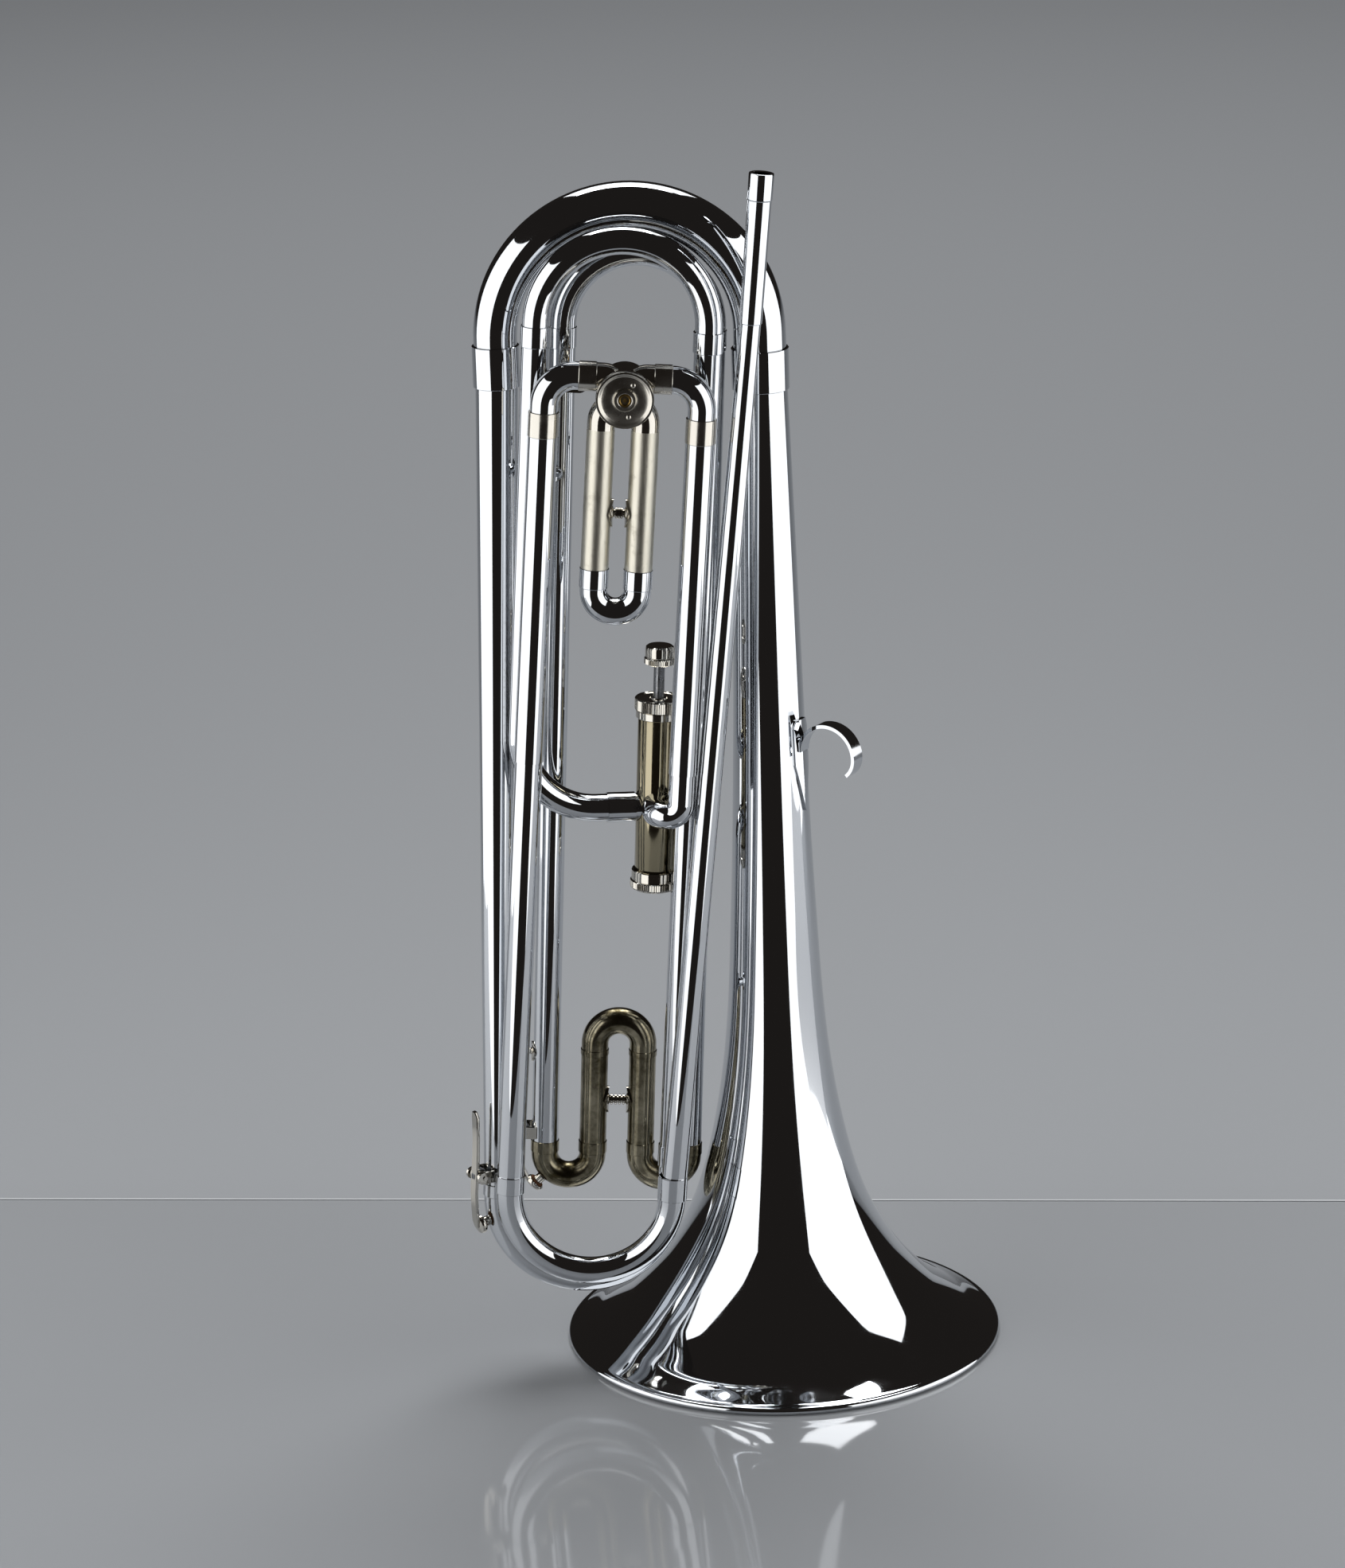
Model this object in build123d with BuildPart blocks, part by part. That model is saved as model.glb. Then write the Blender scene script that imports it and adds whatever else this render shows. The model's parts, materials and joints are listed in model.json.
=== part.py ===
from build123d import *
import os
from math import cos, radians, sin

# A marching French horn bugle: bell down, tubes standing on the bell rim, one piston and one rotary valve.
# Frame: origin at the centre of the bell mouth in the rim plane, +Z up the bell axis, front at -Y.
# Each tube loop lies in its own plane, which leans sideways from the bell axis. In such a plane a point is
# (across, along): along runs up the tubes, across runs towards the bell.

# ---- driving dimensions, mm and degrees ----
TUBE = 13.3                 # outer diameter of the cylindrical tubing
TUBE_BORE = 12.3
SLIDE_LEG = 12.2            # inner slide leg, 0.05 mm clear in its sleeve
SLIDE_LEG_BORE = 11.3
FERRULE = 14.6              # rings over the joints

FRONT_LEAN, FRONT_DEPTH = 4.5, -38.0      # leadpipe loop and rotary valve
MIDDLE_LEAN, MIDDLE_DEPTH = 4.0, -23.5    # main tuning loop
BACK_LEAN, BACK_DEPTH = 3.2, 1.0          # piston loop
PISTON_DEPTH = -12.7

BELL_OUTLINE = [(12.9, 484), (15.3, 400), (18.0, 300), (20.9, 225), (24.9, 160), (31.8, 113),
                (42.0, 75), (56.5, 46.5), (75.0, 24.0), (92.0, 10.8), (105.4, 3.8)]   # radius, height
BELL_WALL = 0.6
BEAD_RADIUS, BEAD_ACROSS, BEAD_HEIGHT = 2.0, 106.0, 1.85
RIM_WIRE = 2.6

TOP_BOW_LEFT, TOP_BOW_RIGHT, TOP_BOW_CROWN = -125.2, 0.0, 512.0
TOP_BOW_LEFT_END, TOP_BOW_RIGHT_END = 490.0, 484.0
BRANCH_TOP_DEPTH = -4.0
BRANCH_TOP_DIA, BELL_TOP_DIA, BRANCH_WALL = 20.4, 25.8, 0.7

FRONT_LEFT, FRONT_RIGHT, LEAD_FOOT = -140.5, -66.5, -60.9
FRONT_BOW_CROWN, FRONT_JOINT = 82.6, 304.0
ROTOR_ACROSS, ROTOR_ALONG = -103.0, 485.6
ROTOR_PORT_RISE = 7.8                     # the two side ports stand above the rotor's centre
ROTOR_SLIDE_HALF, ROTOR_SLIDE_END, ROTOR_SLIDE_CROWN = 10.4, 401.0, 390.2
ROTOR_RADIUS, CASING_WALL, ROTOR_CHANNEL = 11.4, 1.15, 9.0
ROTOR_FRONT, ROTOR_BACK = -49.0, -27.0
CAP_FACE = ROTOR_FRONT - 3.0              # the cap stands proud of the casing
STOP_RADIUS, STOP_START, STOP_RANGE = 9.0, -30.0, 150.0     # the two posts the stop arm swings between

LEAD_TOP, LEAD_JOINT = (2.0, 595.0), (-4.8, 525.0)        # leadpipe line in the front plane's depth, X and Z
LEAD_TOP_DIA, LEAD_MIDDLE_DIA, LEAD_FOOT_DIA = 9.7, 11.6, 12.8

TUNING_LEFT, TUNING_RIGHT, TUNING_CROWN, TUNING_END = -141.4, -60.3, 516.0, 514.5
REAR_BOW_LEFT, REAR_BOW_CROWN = -145.8, 77.0
OUTLET_ALONG, OUTLET_BEND = 277.6, 37.0

LOOP_LEFT, LOOP_RIGHT, LOOP_CROWN = -122.0, -50.9, 512.0
LOOP_SLIDE_LEFT, LOOP_SLIDE_RIGHT = -98.3, -74.6
LOOP_BEND_CROWN, LOOP_SLIDE_END, LOOP_SLIDE_CROWN = 91.8, 147.3, 150.0
LOOP_PORTS = (300.0, 262.0)
PORT_BEND = 9.0

PISTON_ACROSS = -71.8
CASING_DIA, CASING_BORE = 19.2, 16.7
CASING_LOW, CASING_HIGH = 242.0, 325.0
CAP_DIA, BUTTON_DIA, STEM_DIA = 23.0, 15.0, 5.3
PISTON_DIA, PISTON_LOW, PISTON_HIGH = 16.6, 258.0, 322.0
INLET_HEIGHT, KNUCKLE_BEND = 284.0, 6.9
STEM_TOP, BUTTON_TOP = 349.7, 358.8

SLIDE_GRIP = 60.0           # how far an inner slide leg reaches into its sleeve
HOOK_AZIMUTH = -33.0
KEY_REACH, KEY_EAR = 11.4, 4.9      # water key pivot from its tube's centre, and the ears' half spacing

os.makedirs("parts", exist_ok=True)


def leaning_plane(lean, depth):
    """The plane of a tube loop: local x is across, local y is along the tubes, its normal faces the front."""
    a = radians(lean)
    return Plane(origin=(0, depth, 0), x_dir=(cos(a), 0, -sin(a)), z_dir=(0, -1, 0))


front = leaning_plane(FRONT_LEAN, FRONT_DEPTH)
middle = leaning_plane(MIDDLE_LEAN, MIDDLE_DEPTH)
back = leaning_plane(BACK_LEAN, BACK_DEPTH)
piston_sheet = leaning_plane(BACK_LEAN, PISTON_DEPTH)
piston_seat = Plane(origin=piston_sheet.from_local_coords(Vector(PISTON_ACROSS, 0, 0)),
                    x_dir=piston_sheet.x_dir, z_dir=piston_sheet.y_dir)


def at(plane, across, along):
    """A point of a loop's plane as a vector of the model's frame."""
    return plane.from_local_coords(Vector(across, along, 0))


def square_to(path, spot=0.0):
    """The plane that cuts a path at right angles."""
    return Plane(origin=path @ spot, z_dir=path % spot)


def sweep_tube(path, outer, bore, mode):
    """Sweep a round tube, or a rod where the bore is zero, along a path."""
    with BuildSketch(square_to(path)) as mouth:
        Circle(outer / 2)
        if bore:
            Circle(bore / 2, mode=Mode.SUBTRACT)
    sweep(mouth.sketch, path=path, mode=mode)


def run(points, outer, bore=0.0, bend=None, mode=Mode.ADD):
    """A tube along straight runs joined by arcs of one bend radius."""
    with BuildLine() as route:
        if bend is None:
            Line(*points)
        else:
            FilletPolyline(*points, radius=bend)
    sweep_tube(route.line, outer, bore, mode)


def bow(plane, left, right, crown, left_end, right_end, outer=TUBE, bore=TUBE_BORE):
    """A half-circle bow with straight legs: it stands above the crown line, or hangs below it."""
    reach = (right - left) / 2
    side = 1 if left_end < crown else -1
    with BuildLine(plane) as route:
        Line((left, left_end), (left, crown))
        ThreePointArc((left, crown), (left + reach, crown + side * reach), (right, crown))
        Line((right, crown), (right, right_end))
    sweep_tube(route.line, outer, bore, Mode.ADD)


def leg(plane, across, low, high, outer, bore):
    """A straight length of tube, or a ferrule, along a loop's leg."""
    run([at(plane, across, low), at(plane, across, high)], outer, bore)


def turned(foot, top, outline):
    """A solid turned about the line from foot to top, from (radius, height) points."""
    axis = (top - foot).normalized()
    side = axis.cross(Vector(0, 1, 0)).normalized()
    with BuildSketch(Plane(origin=foot, x_dir=side, z_dir=side.cross(axis))) as half:
        with BuildLine():
            Polyline(*outline, close=True)
        make_face()
    revolve(half.sketch, axis=Axis(foot, axis))


def disc(plane, radius, height, hole=0.0, mode=Mode.ADD):
    """A flat round plate or washer, or the space it takes."""
    with BuildSketch(plane) as flat:
        Circle(radius)
        if hole:
            Circle(hole, mode=Mode.SUBTRACT)
    extrude(flat.sketch, amount=height, mode=mode)


def bell_curve(stand_off):
    """The bell's outline points in the XZ plane, moved outwards by stand_off."""
    outline = Edge.make_spline([Vector(radius, height) for radius, height in BELL_OUTLINE])
    moved = []
    for radius, height in BELL_OUTLINE:
        along = outline % outline.param_at_point(Vector(radius, height))
        moved.append((radius - along.Y * stand_off, height + along.X * stand_off))
    return moved


def bell_strip(outer_points, inner_points):
    """The closed outline between two curves of the bell."""
    with BuildLine() as edge:
        outside = Spline(*outer_points)
        inside = Spline(*inner_points)
        Line(outside @ 0, inside @ 0)
        Line(outside @ 1, inside @ 1)
    make_face(edge.edges())


# ---- bell and bell branch ----
with BuildPart() as bell:
    with BuildSketch(Plane.XZ):
        bell_strip(BELL_OUTLINE, bell_curve(-BELL_WALL))
        with Locations((BEAD_ACROSS, BEAD_HEIGHT)):
            Circle(BEAD_RADIUS)
            Circle(BEAD_RADIUS - BELL_WALL, mode=Mode.SUBTRACT)
        with Locations((BEAD_ACROSS, -BEAD_RADIUS)):
            Rectangle(4 * BEAD_RADIUS, 2 * BEAD_RADIUS, mode=Mode.SUBTRACT)
    revolve(axis=Axis.Z)

with BuildPart() as bell_rim_wire:
    with BuildSketch(Plane.XZ):
        with Locations((BEAD_ACROSS, BEAD_HEIGHT)):
            Circle(RIM_WIRE / 2)
    revolve(axis=Axis.Z)

top_sheet = Plane(origin=(0, 0, 0), x_dir=(-TOP_BOW_LEFT, -BRANCH_TOP_DEPTH, 0),
                  z_dir=(-BRANCH_TOP_DEPTH, TOP_BOW_LEFT, 0))
with BuildPart() as top_bow:
    with BuildLine(top_sheet) as arch:
        Line((TOP_BOW_LEFT, TOP_BOW_LEFT_END), (TOP_BOW_LEFT, TOP_BOW_CROWN))
        RadiusArc((TOP_BOW_LEFT, TOP_BOW_CROWN), (TOP_BOW_RIGHT, TOP_BOW_CROWN),
                  (TOP_BOW_RIGHT - TOP_BOW_LEFT) / 2)
        Line((TOP_BOW_RIGHT, TOP_BOW_CROWN), (TOP_BOW_RIGHT, TOP_BOW_RIGHT_END))
    for shrink, kind in ((0.0, Mode.ADD), (2 * BRANCH_WALL, Mode.SUBTRACT)):
        mouths = []
        for spot in (0.0, 0.5, 1.0):
            with BuildSketch(square_to(arch.line, spot), mode=Mode.PRIVATE) as mouth:
                Circle((BRANCH_TOP_DIA + (BELL_TOP_DIA - BRANCH_TOP_DIA) * spot - shrink) / 2)
            mouths.append(mouth.sketch.face())
        sweep(sections=mouths, path=arch.line, multisection=True, mode=kind)

branch_foot = at(middle, REAR_BOW_LEFT, REAR_BOW_CROWN)
branch_top = at(top_sheet, TOP_BOW_LEFT, TOP_BOW_LEFT_END)
branch_length = (branch_top - branch_foot).length
with BuildPart() as branch_tube:
    turned(branch_foot, branch_top,
           [(TUBE_BORE / 2, 0), (TUBE / 2, 0), (BRANCH_TOP_DIA / 2, branch_length),
            (BRANCH_TOP_DIA / 2 - BRANCH_WALL, branch_length)])

with BuildPart() as branch_ferrules:
    leg(top_sheet, TOP_BOW_LEFT, TOP_BOW_LEFT_END, TOP_BOW_LEFT_END + 20,
        BRANCH_TOP_DIA + 2.2, BRANCH_TOP_DIA + 0.9)
    leg(top_sheet, TOP_BOW_RIGHT, TOP_BOW_RIGHT_END, TOP_BOW_RIGHT_END + 20,
        BELL_TOP_DIA + 1.8, BELL_TOP_DIA)

with BuildPart() as rear_bottom_bow:
    bow(middle, REAR_BOW_LEFT, TUNING_RIGHT, REAR_BOW_CROWN - 0.5, REAR_BOW_CROWN, 100.6)

with BuildPart() as rear_bow_ferrules:
    leg(middle, REAR_BOW_LEFT, REAR_BOW_CROWN - 0.5, REAR_BOW_CROWN + 6, FERRULE, TUBE)
    leg(middle, TUNING_RIGHT, 95, 106, FERRULE, TUBE)

# ---- main tuning loop: piston outlet, tuning slide, down to the rear bow ----
outlet_mouth = at(piston_sheet, PISTON_ACROSS - 5.0, OUTLET_ALONG)
outlet_corner = at(middle, TUNING_LEFT, OUTLET_ALONG - 2.0)
outlet_way = (outlet_corner - outlet_mouth).normalized()
bore_low = at(piston_sheet, PISTON_ACROSS, CASING_LOW)
bore_high = at(piston_sheet, PISTON_ACROSS, CASING_HIGH)
with BuildPart() as outlet_tube:
    run([outlet_mouth, outlet_corner, at(middle, TUNING_LEFT, TUNING_END)], TUBE, TUBE_BORE,
        bend=OUTLET_BEND)
    run([bore_low, bore_high], CASING_BORE, mode=Mode.SUBTRACT)

with BuildPart() as tuning_right_tube:
    leg(middle, TUNING_RIGHT, 100.6, TUNING_END, TUBE, TUBE_BORE)

with BuildPart() as tuning_leg_ferrules:
    for across in (TUNING_LEFT, TUNING_RIGHT):
        leg(middle, across, 504.5, TUNING_END, FERRULE, TUBE)

with BuildPart() as tuning_slide_bow:
    bow(middle, TUNING_LEFT, TUNING_RIGHT, TUNING_CROWN, TUNING_END, TUNING_END, TUBE, SLIDE_LEG)

with BuildPart() as tuning_slide_legs:
    for across in (TUNING_LEFT, TUNING_RIGHT):
        leg(middle, across, TUNING_END - SLIDE_GRIP, TUNING_CROWN, SLIDE_LEG, SLIDE_LEG_BORE)

# ---- piston loop ----
with BuildPart() as loop_top_bow:
    bow(back, LOOP_LEFT, LOOP_RIGHT, LOOP_CROWN, LOOP_CROWN - 6, LOOP_CROWN - 6)

with BuildPart() as loop_ferrules:
    for across in (LOOP_LEFT, LOOP_RIGHT):
        leg(back, across, LOOP_CROWN - 11, LOOP_CROWN - 1, FERRULE - 0.4, TUBE)
    for across in (LOOP_LEFT, LOOP_SLIDE_LEFT, LOOP_SLIDE_RIGHT, LOOP_RIGHT):
        leg(back, across, LOOP_BEND_CROWN + 1, LOOP_BEND_CROWN + 7, FERRULE - 0.6, TUBE)

with BuildPart() as loop_left_tube:
    leg(back, LOOP_LEFT, LOOP_BEND_CROWN + 4, LOOP_CROWN - 6, TUBE, TUBE_BORE)

port_mouths = []
port_corners = []
for height in LOOP_PORTS:
    corner = at(back, LOOP_RIGHT, height)
    middle_of_bore = at(piston_sheet, PISTON_ACROSS, height)
    port_corners.append(corner)
    port_mouths.append(middle_of_bore + (corner - middle_of_bore).normalized() * 5.0)

with BuildPart() as loop_right_tube:
    run([port_mouths[0], port_corners[0], at(back, LOOP_RIGHT, LOOP_CROWN - 6)], TUBE, TUBE_BORE,
        bend=PORT_BEND)
    run([bore_low, bore_high], CASING_BORE, mode=Mode.SUBTRACT)

with BuildPart() as loop_riser_tube:
    run([port_mouths[1], port_corners[1], at(back, LOOP_RIGHT, LOOP_BEND_CROWN + 4)],
        TUBE, TUBE_BORE, bend=PORT_BEND)
    run([bore_low, bore_high], CASING_BORE, mode=Mode.SUBTRACT)

with BuildPart() as loop_u_bends:
    for left, right in ((LOOP_LEFT, LOOP_SLIDE_LEFT), (LOOP_SLIDE_RIGHT, LOOP_RIGHT)):
        bow(back, left, right, LOOP_BEND_CROWN, LOOP_BEND_CROWN + 4, LOOP_BEND_CROWN + 4)

with BuildPart() as loop_slide_sleeves:
    for across in (LOOP_SLIDE_LEFT, LOOP_SLIDE_RIGHT):
        leg(back, across, LOOP_BEND_CROWN + 4, LOOP_SLIDE_END, TUBE, TUBE_BORE)

with BuildPart() as loop_slide_bow:
    bow(back, LOOP_SLIDE_LEFT, LOOP_SLIDE_RIGHT, LOOP_SLIDE_CROWN, LOOP_SLIDE_END, LOOP_SLIDE_END,
        TUBE, SLIDE_LEG)

with BuildPart() as loop_slide_legs:
    for across in (LOOP_SLIDE_LEFT, LOOP_SLIDE_RIGHT):
        leg(back, across, LOOP_BEND_CROWN + 8, LOOP_SLIDE_CROWN, SLIDE_LEG, SLIDE_LEG_BORE)

# ---- leadpipe and front loop ----
lead_top = Vector(LEAD_TOP[0], FRONT_DEPTH, LEAD_TOP[1])
lead_joint = Vector(LEAD_JOINT[0], FRONT_DEPTH, LEAD_JOINT[1])
lead_foot = at(front, LEAD_FOOT + 0.5, FRONT_BOW_CROWN + 5)
lead_length = (lead_joint - lead_foot).length
with BuildPart() as leadpipe:
    turned(lead_foot, lead_joint,
           [(LEAD_FOOT_DIA / 2 - 0.6, 0), (LEAD_FOOT_DIA / 2, 0), (LEAD_MIDDLE_DIA / 2, lead_length / 3),
            (LEAD_MIDDLE_DIA / 2 - 0.1, lead_length * 0.6), (LEAD_TOP_DIA / 2, lead_length),
            (LEAD_TOP_DIA / 2 - 0.8, lead_length), (LEAD_MIDDLE_DIA / 2 - 0.8, lead_length * 0.6)])

receiver_length = (lead_top - lead_joint).length
with BuildPart() as mouthpiece_receiver:
    turned(lead_joint, lead_top,
           [(3.6, -1), (LEAD_TOP_DIA / 2 + 0.3, -1), (5.3, 0), (5.7, receiver_length - 13),
            (6.0, receiver_length - 12.4), (6.0, receiver_length - 0.6), (5.5, receiver_length),
            (4.4, receiver_length), (3.9, receiver_length - 25)])

with BuildPart() as front_bottom_bow:
    bow(front, FRONT_LEFT, LEAD_FOOT, FRONT_BOW_CROWN, FRONT_BOW_CROWN + 4, FRONT_BOW_CROWN + 4)

with BuildPart() as front_ferrules:
    leg(front, FRONT_LEFT, FRONT_BOW_CROWN, FRONT_BOW_CROWN + 9, FERRULE, TUBE)
    leg(front, LEAD_FOOT, FRONT_BOW_CROWN, FRONT_BOW_CROWN + 12, FERRULE, TUBE)

elbow_end = ROTOR_ALONG - 16.0
with BuildPart() as front_left_tube:
    leg(front, FRONT_LEFT, FRONT_BOW_CROWN + 4, elbow_end, TUBE, TUBE_BORE)

with BuildPart() as front_right_tube:
    leg(front, FRONT_RIGHT, FRONT_JOINT - 3, elbow_end, TUBE, TUBE_BORE)

with BuildPart() as front_sleeves:
    for across, low in ((FRONT_LEFT, FRONT_JOINT), (FRONT_RIGHT, FRONT_JOINT - 3)):
        leg(front, across, low, elbow_end - 6, TUBE + 0.8, TUBE)

port_along = ROTOR_ALONG + ROTOR_PORT_RISE
with BuildPart() as rotor_elbows:
    run([at(front, ROTOR_ACROSS - 16.5, port_along), at(front, FRONT_LEFT, port_along),
         at(front, FRONT_LEFT, elbow_end)], TUBE, TUBE_BORE, bend=14.5)
    run([at(front, ROTOR_ACROSS + 16.5, port_along), at(front, FRONT_RIGHT, port_along),
         at(front, FRONT_RIGHT, elbow_end)], TUBE, TUBE_BORE, bend=14.5)

with BuildPart() as rotor_port_ferrules:
    for across in (FRONT_LEFT, FRONT_RIGHT):
        leg(front, across, elbow_end - 6, elbow_end + 6, FERRULE, TUBE)
    for side in (-1, 1):
        run([at(front, ROTOR_ACROSS + side * 13.5, port_along),
             at(front, ROTOR_ACROSS + side * 22, port_along)], FERRULE - 0.4, TUBE)

knuckle_top = at(front, FRONT_RIGHT, FRONT_JOINT - 3)
knuckle_turn = knuckle_top - front.y_dir * ((knuckle_top.Z - INLET_HEIGHT) / front.y_dir.Z)
inlet_x = at(piston_sheet, PISTON_ACROSS, INLET_HEIGHT - 4).X
with BuildPart() as piston_inlet_knuckle:
    run([knuckle_top, knuckle_turn, (inlet_x, FRONT_DEPTH + 2, INLET_HEIGHT),
         (inlet_x, PISTON_DEPTH - 5, INLET_HEIGHT)], TUBE, TUBE_BORE, bend=KNUCKLE_BEND)
    run([bore_low, bore_high], CASING_BORE, mode=Mode.SUBTRACT)
    run([outlet_mouth, outlet_mouth + outlet_way * 20], TUBE, mode=Mode.SUBTRACT)

# ---- rotary valve ----


def rotor_seat(depth):
    """The plane square to the rotor's axis at a depth, with its normal facing the back."""
    return Plane(origin=at(front, ROTOR_ACROSS, ROTOR_ALONG) + Vector(0, depth - FRONT_DEPTH, 0),
                 x_dir=front.x_dir, z_dir=(0, 1, 0))


def knuckle(side, outer, bore, mode=Mode.ADD):
    """The side port and the slide port on one side of the rotor casing, each bent from the diagonal."""
    def place(across, along):
        return at(front, ROTOR_ACROSS + side * across, ROTOR_ALONG + along)
    rise, half = ROTOR_PORT_RISE, ROTOR_SLIDE_HALF
    run([place(5, 5), place(rise, rise), place(16.5, rise)], outer, bore, bend=6.8, mode=mode)
    run([place(5, -5), place(half, -half), place(half, -17)], outer, bore, bend=8.0, mode=mode)


with BuildPart() as rotor_casing:
    disc(rotor_seat(ROTOR_FRONT), ROTOR_RADIUS + 0.05 + CASING_WALL, ROTOR_BACK - ROTOR_FRONT)
    for side in (-1, 1):
        knuckle(side, TUBE, 0)
    for side in (-1, 1):
        knuckle(side, TUBE_BORE, 0, mode=Mode.SUBTRACT)
    disc(rotor_seat(ROTOR_FRONT), ROTOR_RADIUS + 0.05, ROTOR_BACK - ROTOR_FRONT, mode=Mode.SUBTRACT)

with BuildPart() as rotor_front_cap:
    disc(rotor_seat(CAP_FACE), 13.7, 5.0)
    disc(rotor_seat(ROTOR_FRONT), ROTOR_RADIUS + 0.05 + CASING_WALL, 2.0, mode=Mode.SUBTRACT)
    disc(rotor_seat(CAP_FACE), 12.2, 1.2, hole=5.0, mode=Mode.SUBTRACT)
    with BuildSketch(rotor_seat(CAP_FACE + 0.5)):
        with Locations((4.1, -6.8), (1.5, 8.3)):
            Circle(1.15)
    extrude(amount=1.2)
    disc(rotor_seat(CAP_FACE), 3.2, 3.0, mode=Mode.SUBTRACT)

with BuildPart() as rotor_front_bearing:
    disc(rotor_seat(CAP_FACE), 3.2, 3.0, hole=2.05)

with BuildPart() as rotor_back_plate:
    disc(rotor_seat(ROTOR_BACK), ROTOR_RADIUS + 0.05 + CASING_WALL, 2.5, hole=3.05)
    disc(rotor_seat(ROTOR_BACK + 2.5), 5.5, 1.5, hole=3.05)

with BuildPart() as rotor:
    disc(rotor_seat(ROTOR_FRONT + 0.3), ROTOR_RADIUS, ROTOR_BACK - ROTOR_FRONT - 0.6)
    disc(rotor_seat(ROTOR_FRONT - 2.4), 2.0, 3.0)
    disc(rotor_seat(ROTOR_BACK - 0.3), 3.0, 10.3)
    channel_bend = ROTOR_RADIUS
    channel_middle = ROTOR_RADIUS * 2 ** 0.5
    for side in (-1, 1):
        with BuildLine(front) as channel:
            CenterArc((ROTOR_ACROSS, ROTOR_ALONG + side * channel_middle), channel_bend,
                      90 - side * 180 - 50, 100)
        sweep_tube(channel.line, ROTOR_CHANNEL, 0, Mode.SUBTRACT)

lever_seat = rotor_seat(ROTOR_BACK + 5.5)
with BuildPart() as rotor_thumb_lever:
    with BuildSketch(lever_seat):
        Circle(5.5)
        with Locations((-13, 0)):
            SlotOverall(22, 5)
        with Locations((-25, 0)):
            SlotOverall(16, 9)
        with Locations((6, 0)):
            Rectangle(9, 3.4)
        Circle(3.0, mode=Mode.SUBTRACT)
    extrude(amount=2.2)
    disc(rotor_seat(ROTOR_BACK + 7.7), 4.6, 1.4, hole=3.0)

with BuildPart() as stop_posts:
    with BuildSketch(rotor_seat(ROTOR_BACK + 2.5)):
        with PolarLocations(STOP_RADIUS, 2, start_angle=STOP_START, angular_range=STOP_RANGE, endpoint=True):
            Circle(2.0)
    extrude(amount=3.0)

with BuildPart() as stop_corks:
    with BuildSketch(rotor_seat(ROTOR_BACK + 5.5)):
        with PolarLocations(STOP_RADIUS, 2, start_angle=STOP_START, angular_range=STOP_RANGE, endpoint=True):
            Circle(2.4)
    extrude(amount=2.4)

with BuildPart() as rotor_slide_sleeves:
    for side in (-1, 1):
        leg(front, ROTOR_ACROSS + side * ROTOR_SLIDE_HALF, ROTOR_SLIDE_END, ROTOR_ALONG - 17, TUBE, TUBE_BORE)

with BuildPart() as rotor_slide_bow:
    bow(front, ROTOR_ACROSS - ROTOR_SLIDE_HALF, ROTOR_ACROSS + ROTOR_SLIDE_HALF, ROTOR_SLIDE_CROWN,
        ROTOR_SLIDE_END, ROTOR_SLIDE_END, TUBE, SLIDE_LEG)
    for side in (-1, 1):
        leg(front, ROTOR_ACROSS + side * ROTOR_SLIDE_HALF, ROTOR_SLIDE_END - 9.5, ROTOR_SLIDE_END,
            TUBE + 0.7, TUBE - 0.4)

with BuildPart() as rotor_slide_legs:
    for side in (-1, 1):
        leg(front, ROTOR_ACROSS + side * ROTOR_SLIDE_HALF, ROTOR_SLIDE_CROWN, ROTOR_SLIDE_END + SLIDE_GRIP,
            SLIDE_LEG, SLIDE_LEG_BORE)

# ---- piston valve ----
def level(height):
    """The plane square to the piston's axis at a height along it."""
    return piston_seat.offset(height)


with BuildPart() as piston_casing:
    disc(level(CASING_LOW), CASING_DIA / 2, CASING_HIGH - CASING_LOW, hole=CASING_BORE / 2)
    for low in (CASING_LOW + 5.5, CASING_HIGH - 5.0):
        disc(level(low), CASING_DIA / 2 + 0.7, 3.0, hole=CASING_BORE / 2)
    run([outlet_mouth, outlet_mouth + outlet_way * 20], TUBE, mode=Mode.SUBTRACT)
    run([(inlet_x, PISTON_DEPTH - 5, INLET_HEIGHT), (inlet_x, PISTON_DEPTH - 20, INLET_HEIGHT)],
        TUBE, mode=Mode.SUBTRACT)
    for mouth, corner in zip(port_mouths, port_corners):
        run([mouth, corner], TUBE, mode=Mode.SUBTRACT)

with BuildPart() as piston_top_cap:
    disc(level(CASING_HIGH - 2.0), CAP_DIA / 2, 6.0, hole=CASING_DIA / 2)
    disc(level(CASING_HIGH + 4.0), CAP_DIA / 2, 4.0, hole=STEM_DIA / 2 + 0.4)
    fillet(edges().filter_by(GeomType.CIRCLE).sort_by(SortBy.RADIUS)[-1:], 0.8)

with BuildPart() as piston_bottom_cap:
    disc(level(CASING_LOW - 3.0), CAP_DIA / 2, 7.0)
    disc(level(CASING_LOW), CASING_DIA / 2, 4.0, mode=Mode.SUBTRACT)
    disc(level(CASING_LOW - 6.0), 4.0, 3.0)

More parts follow.
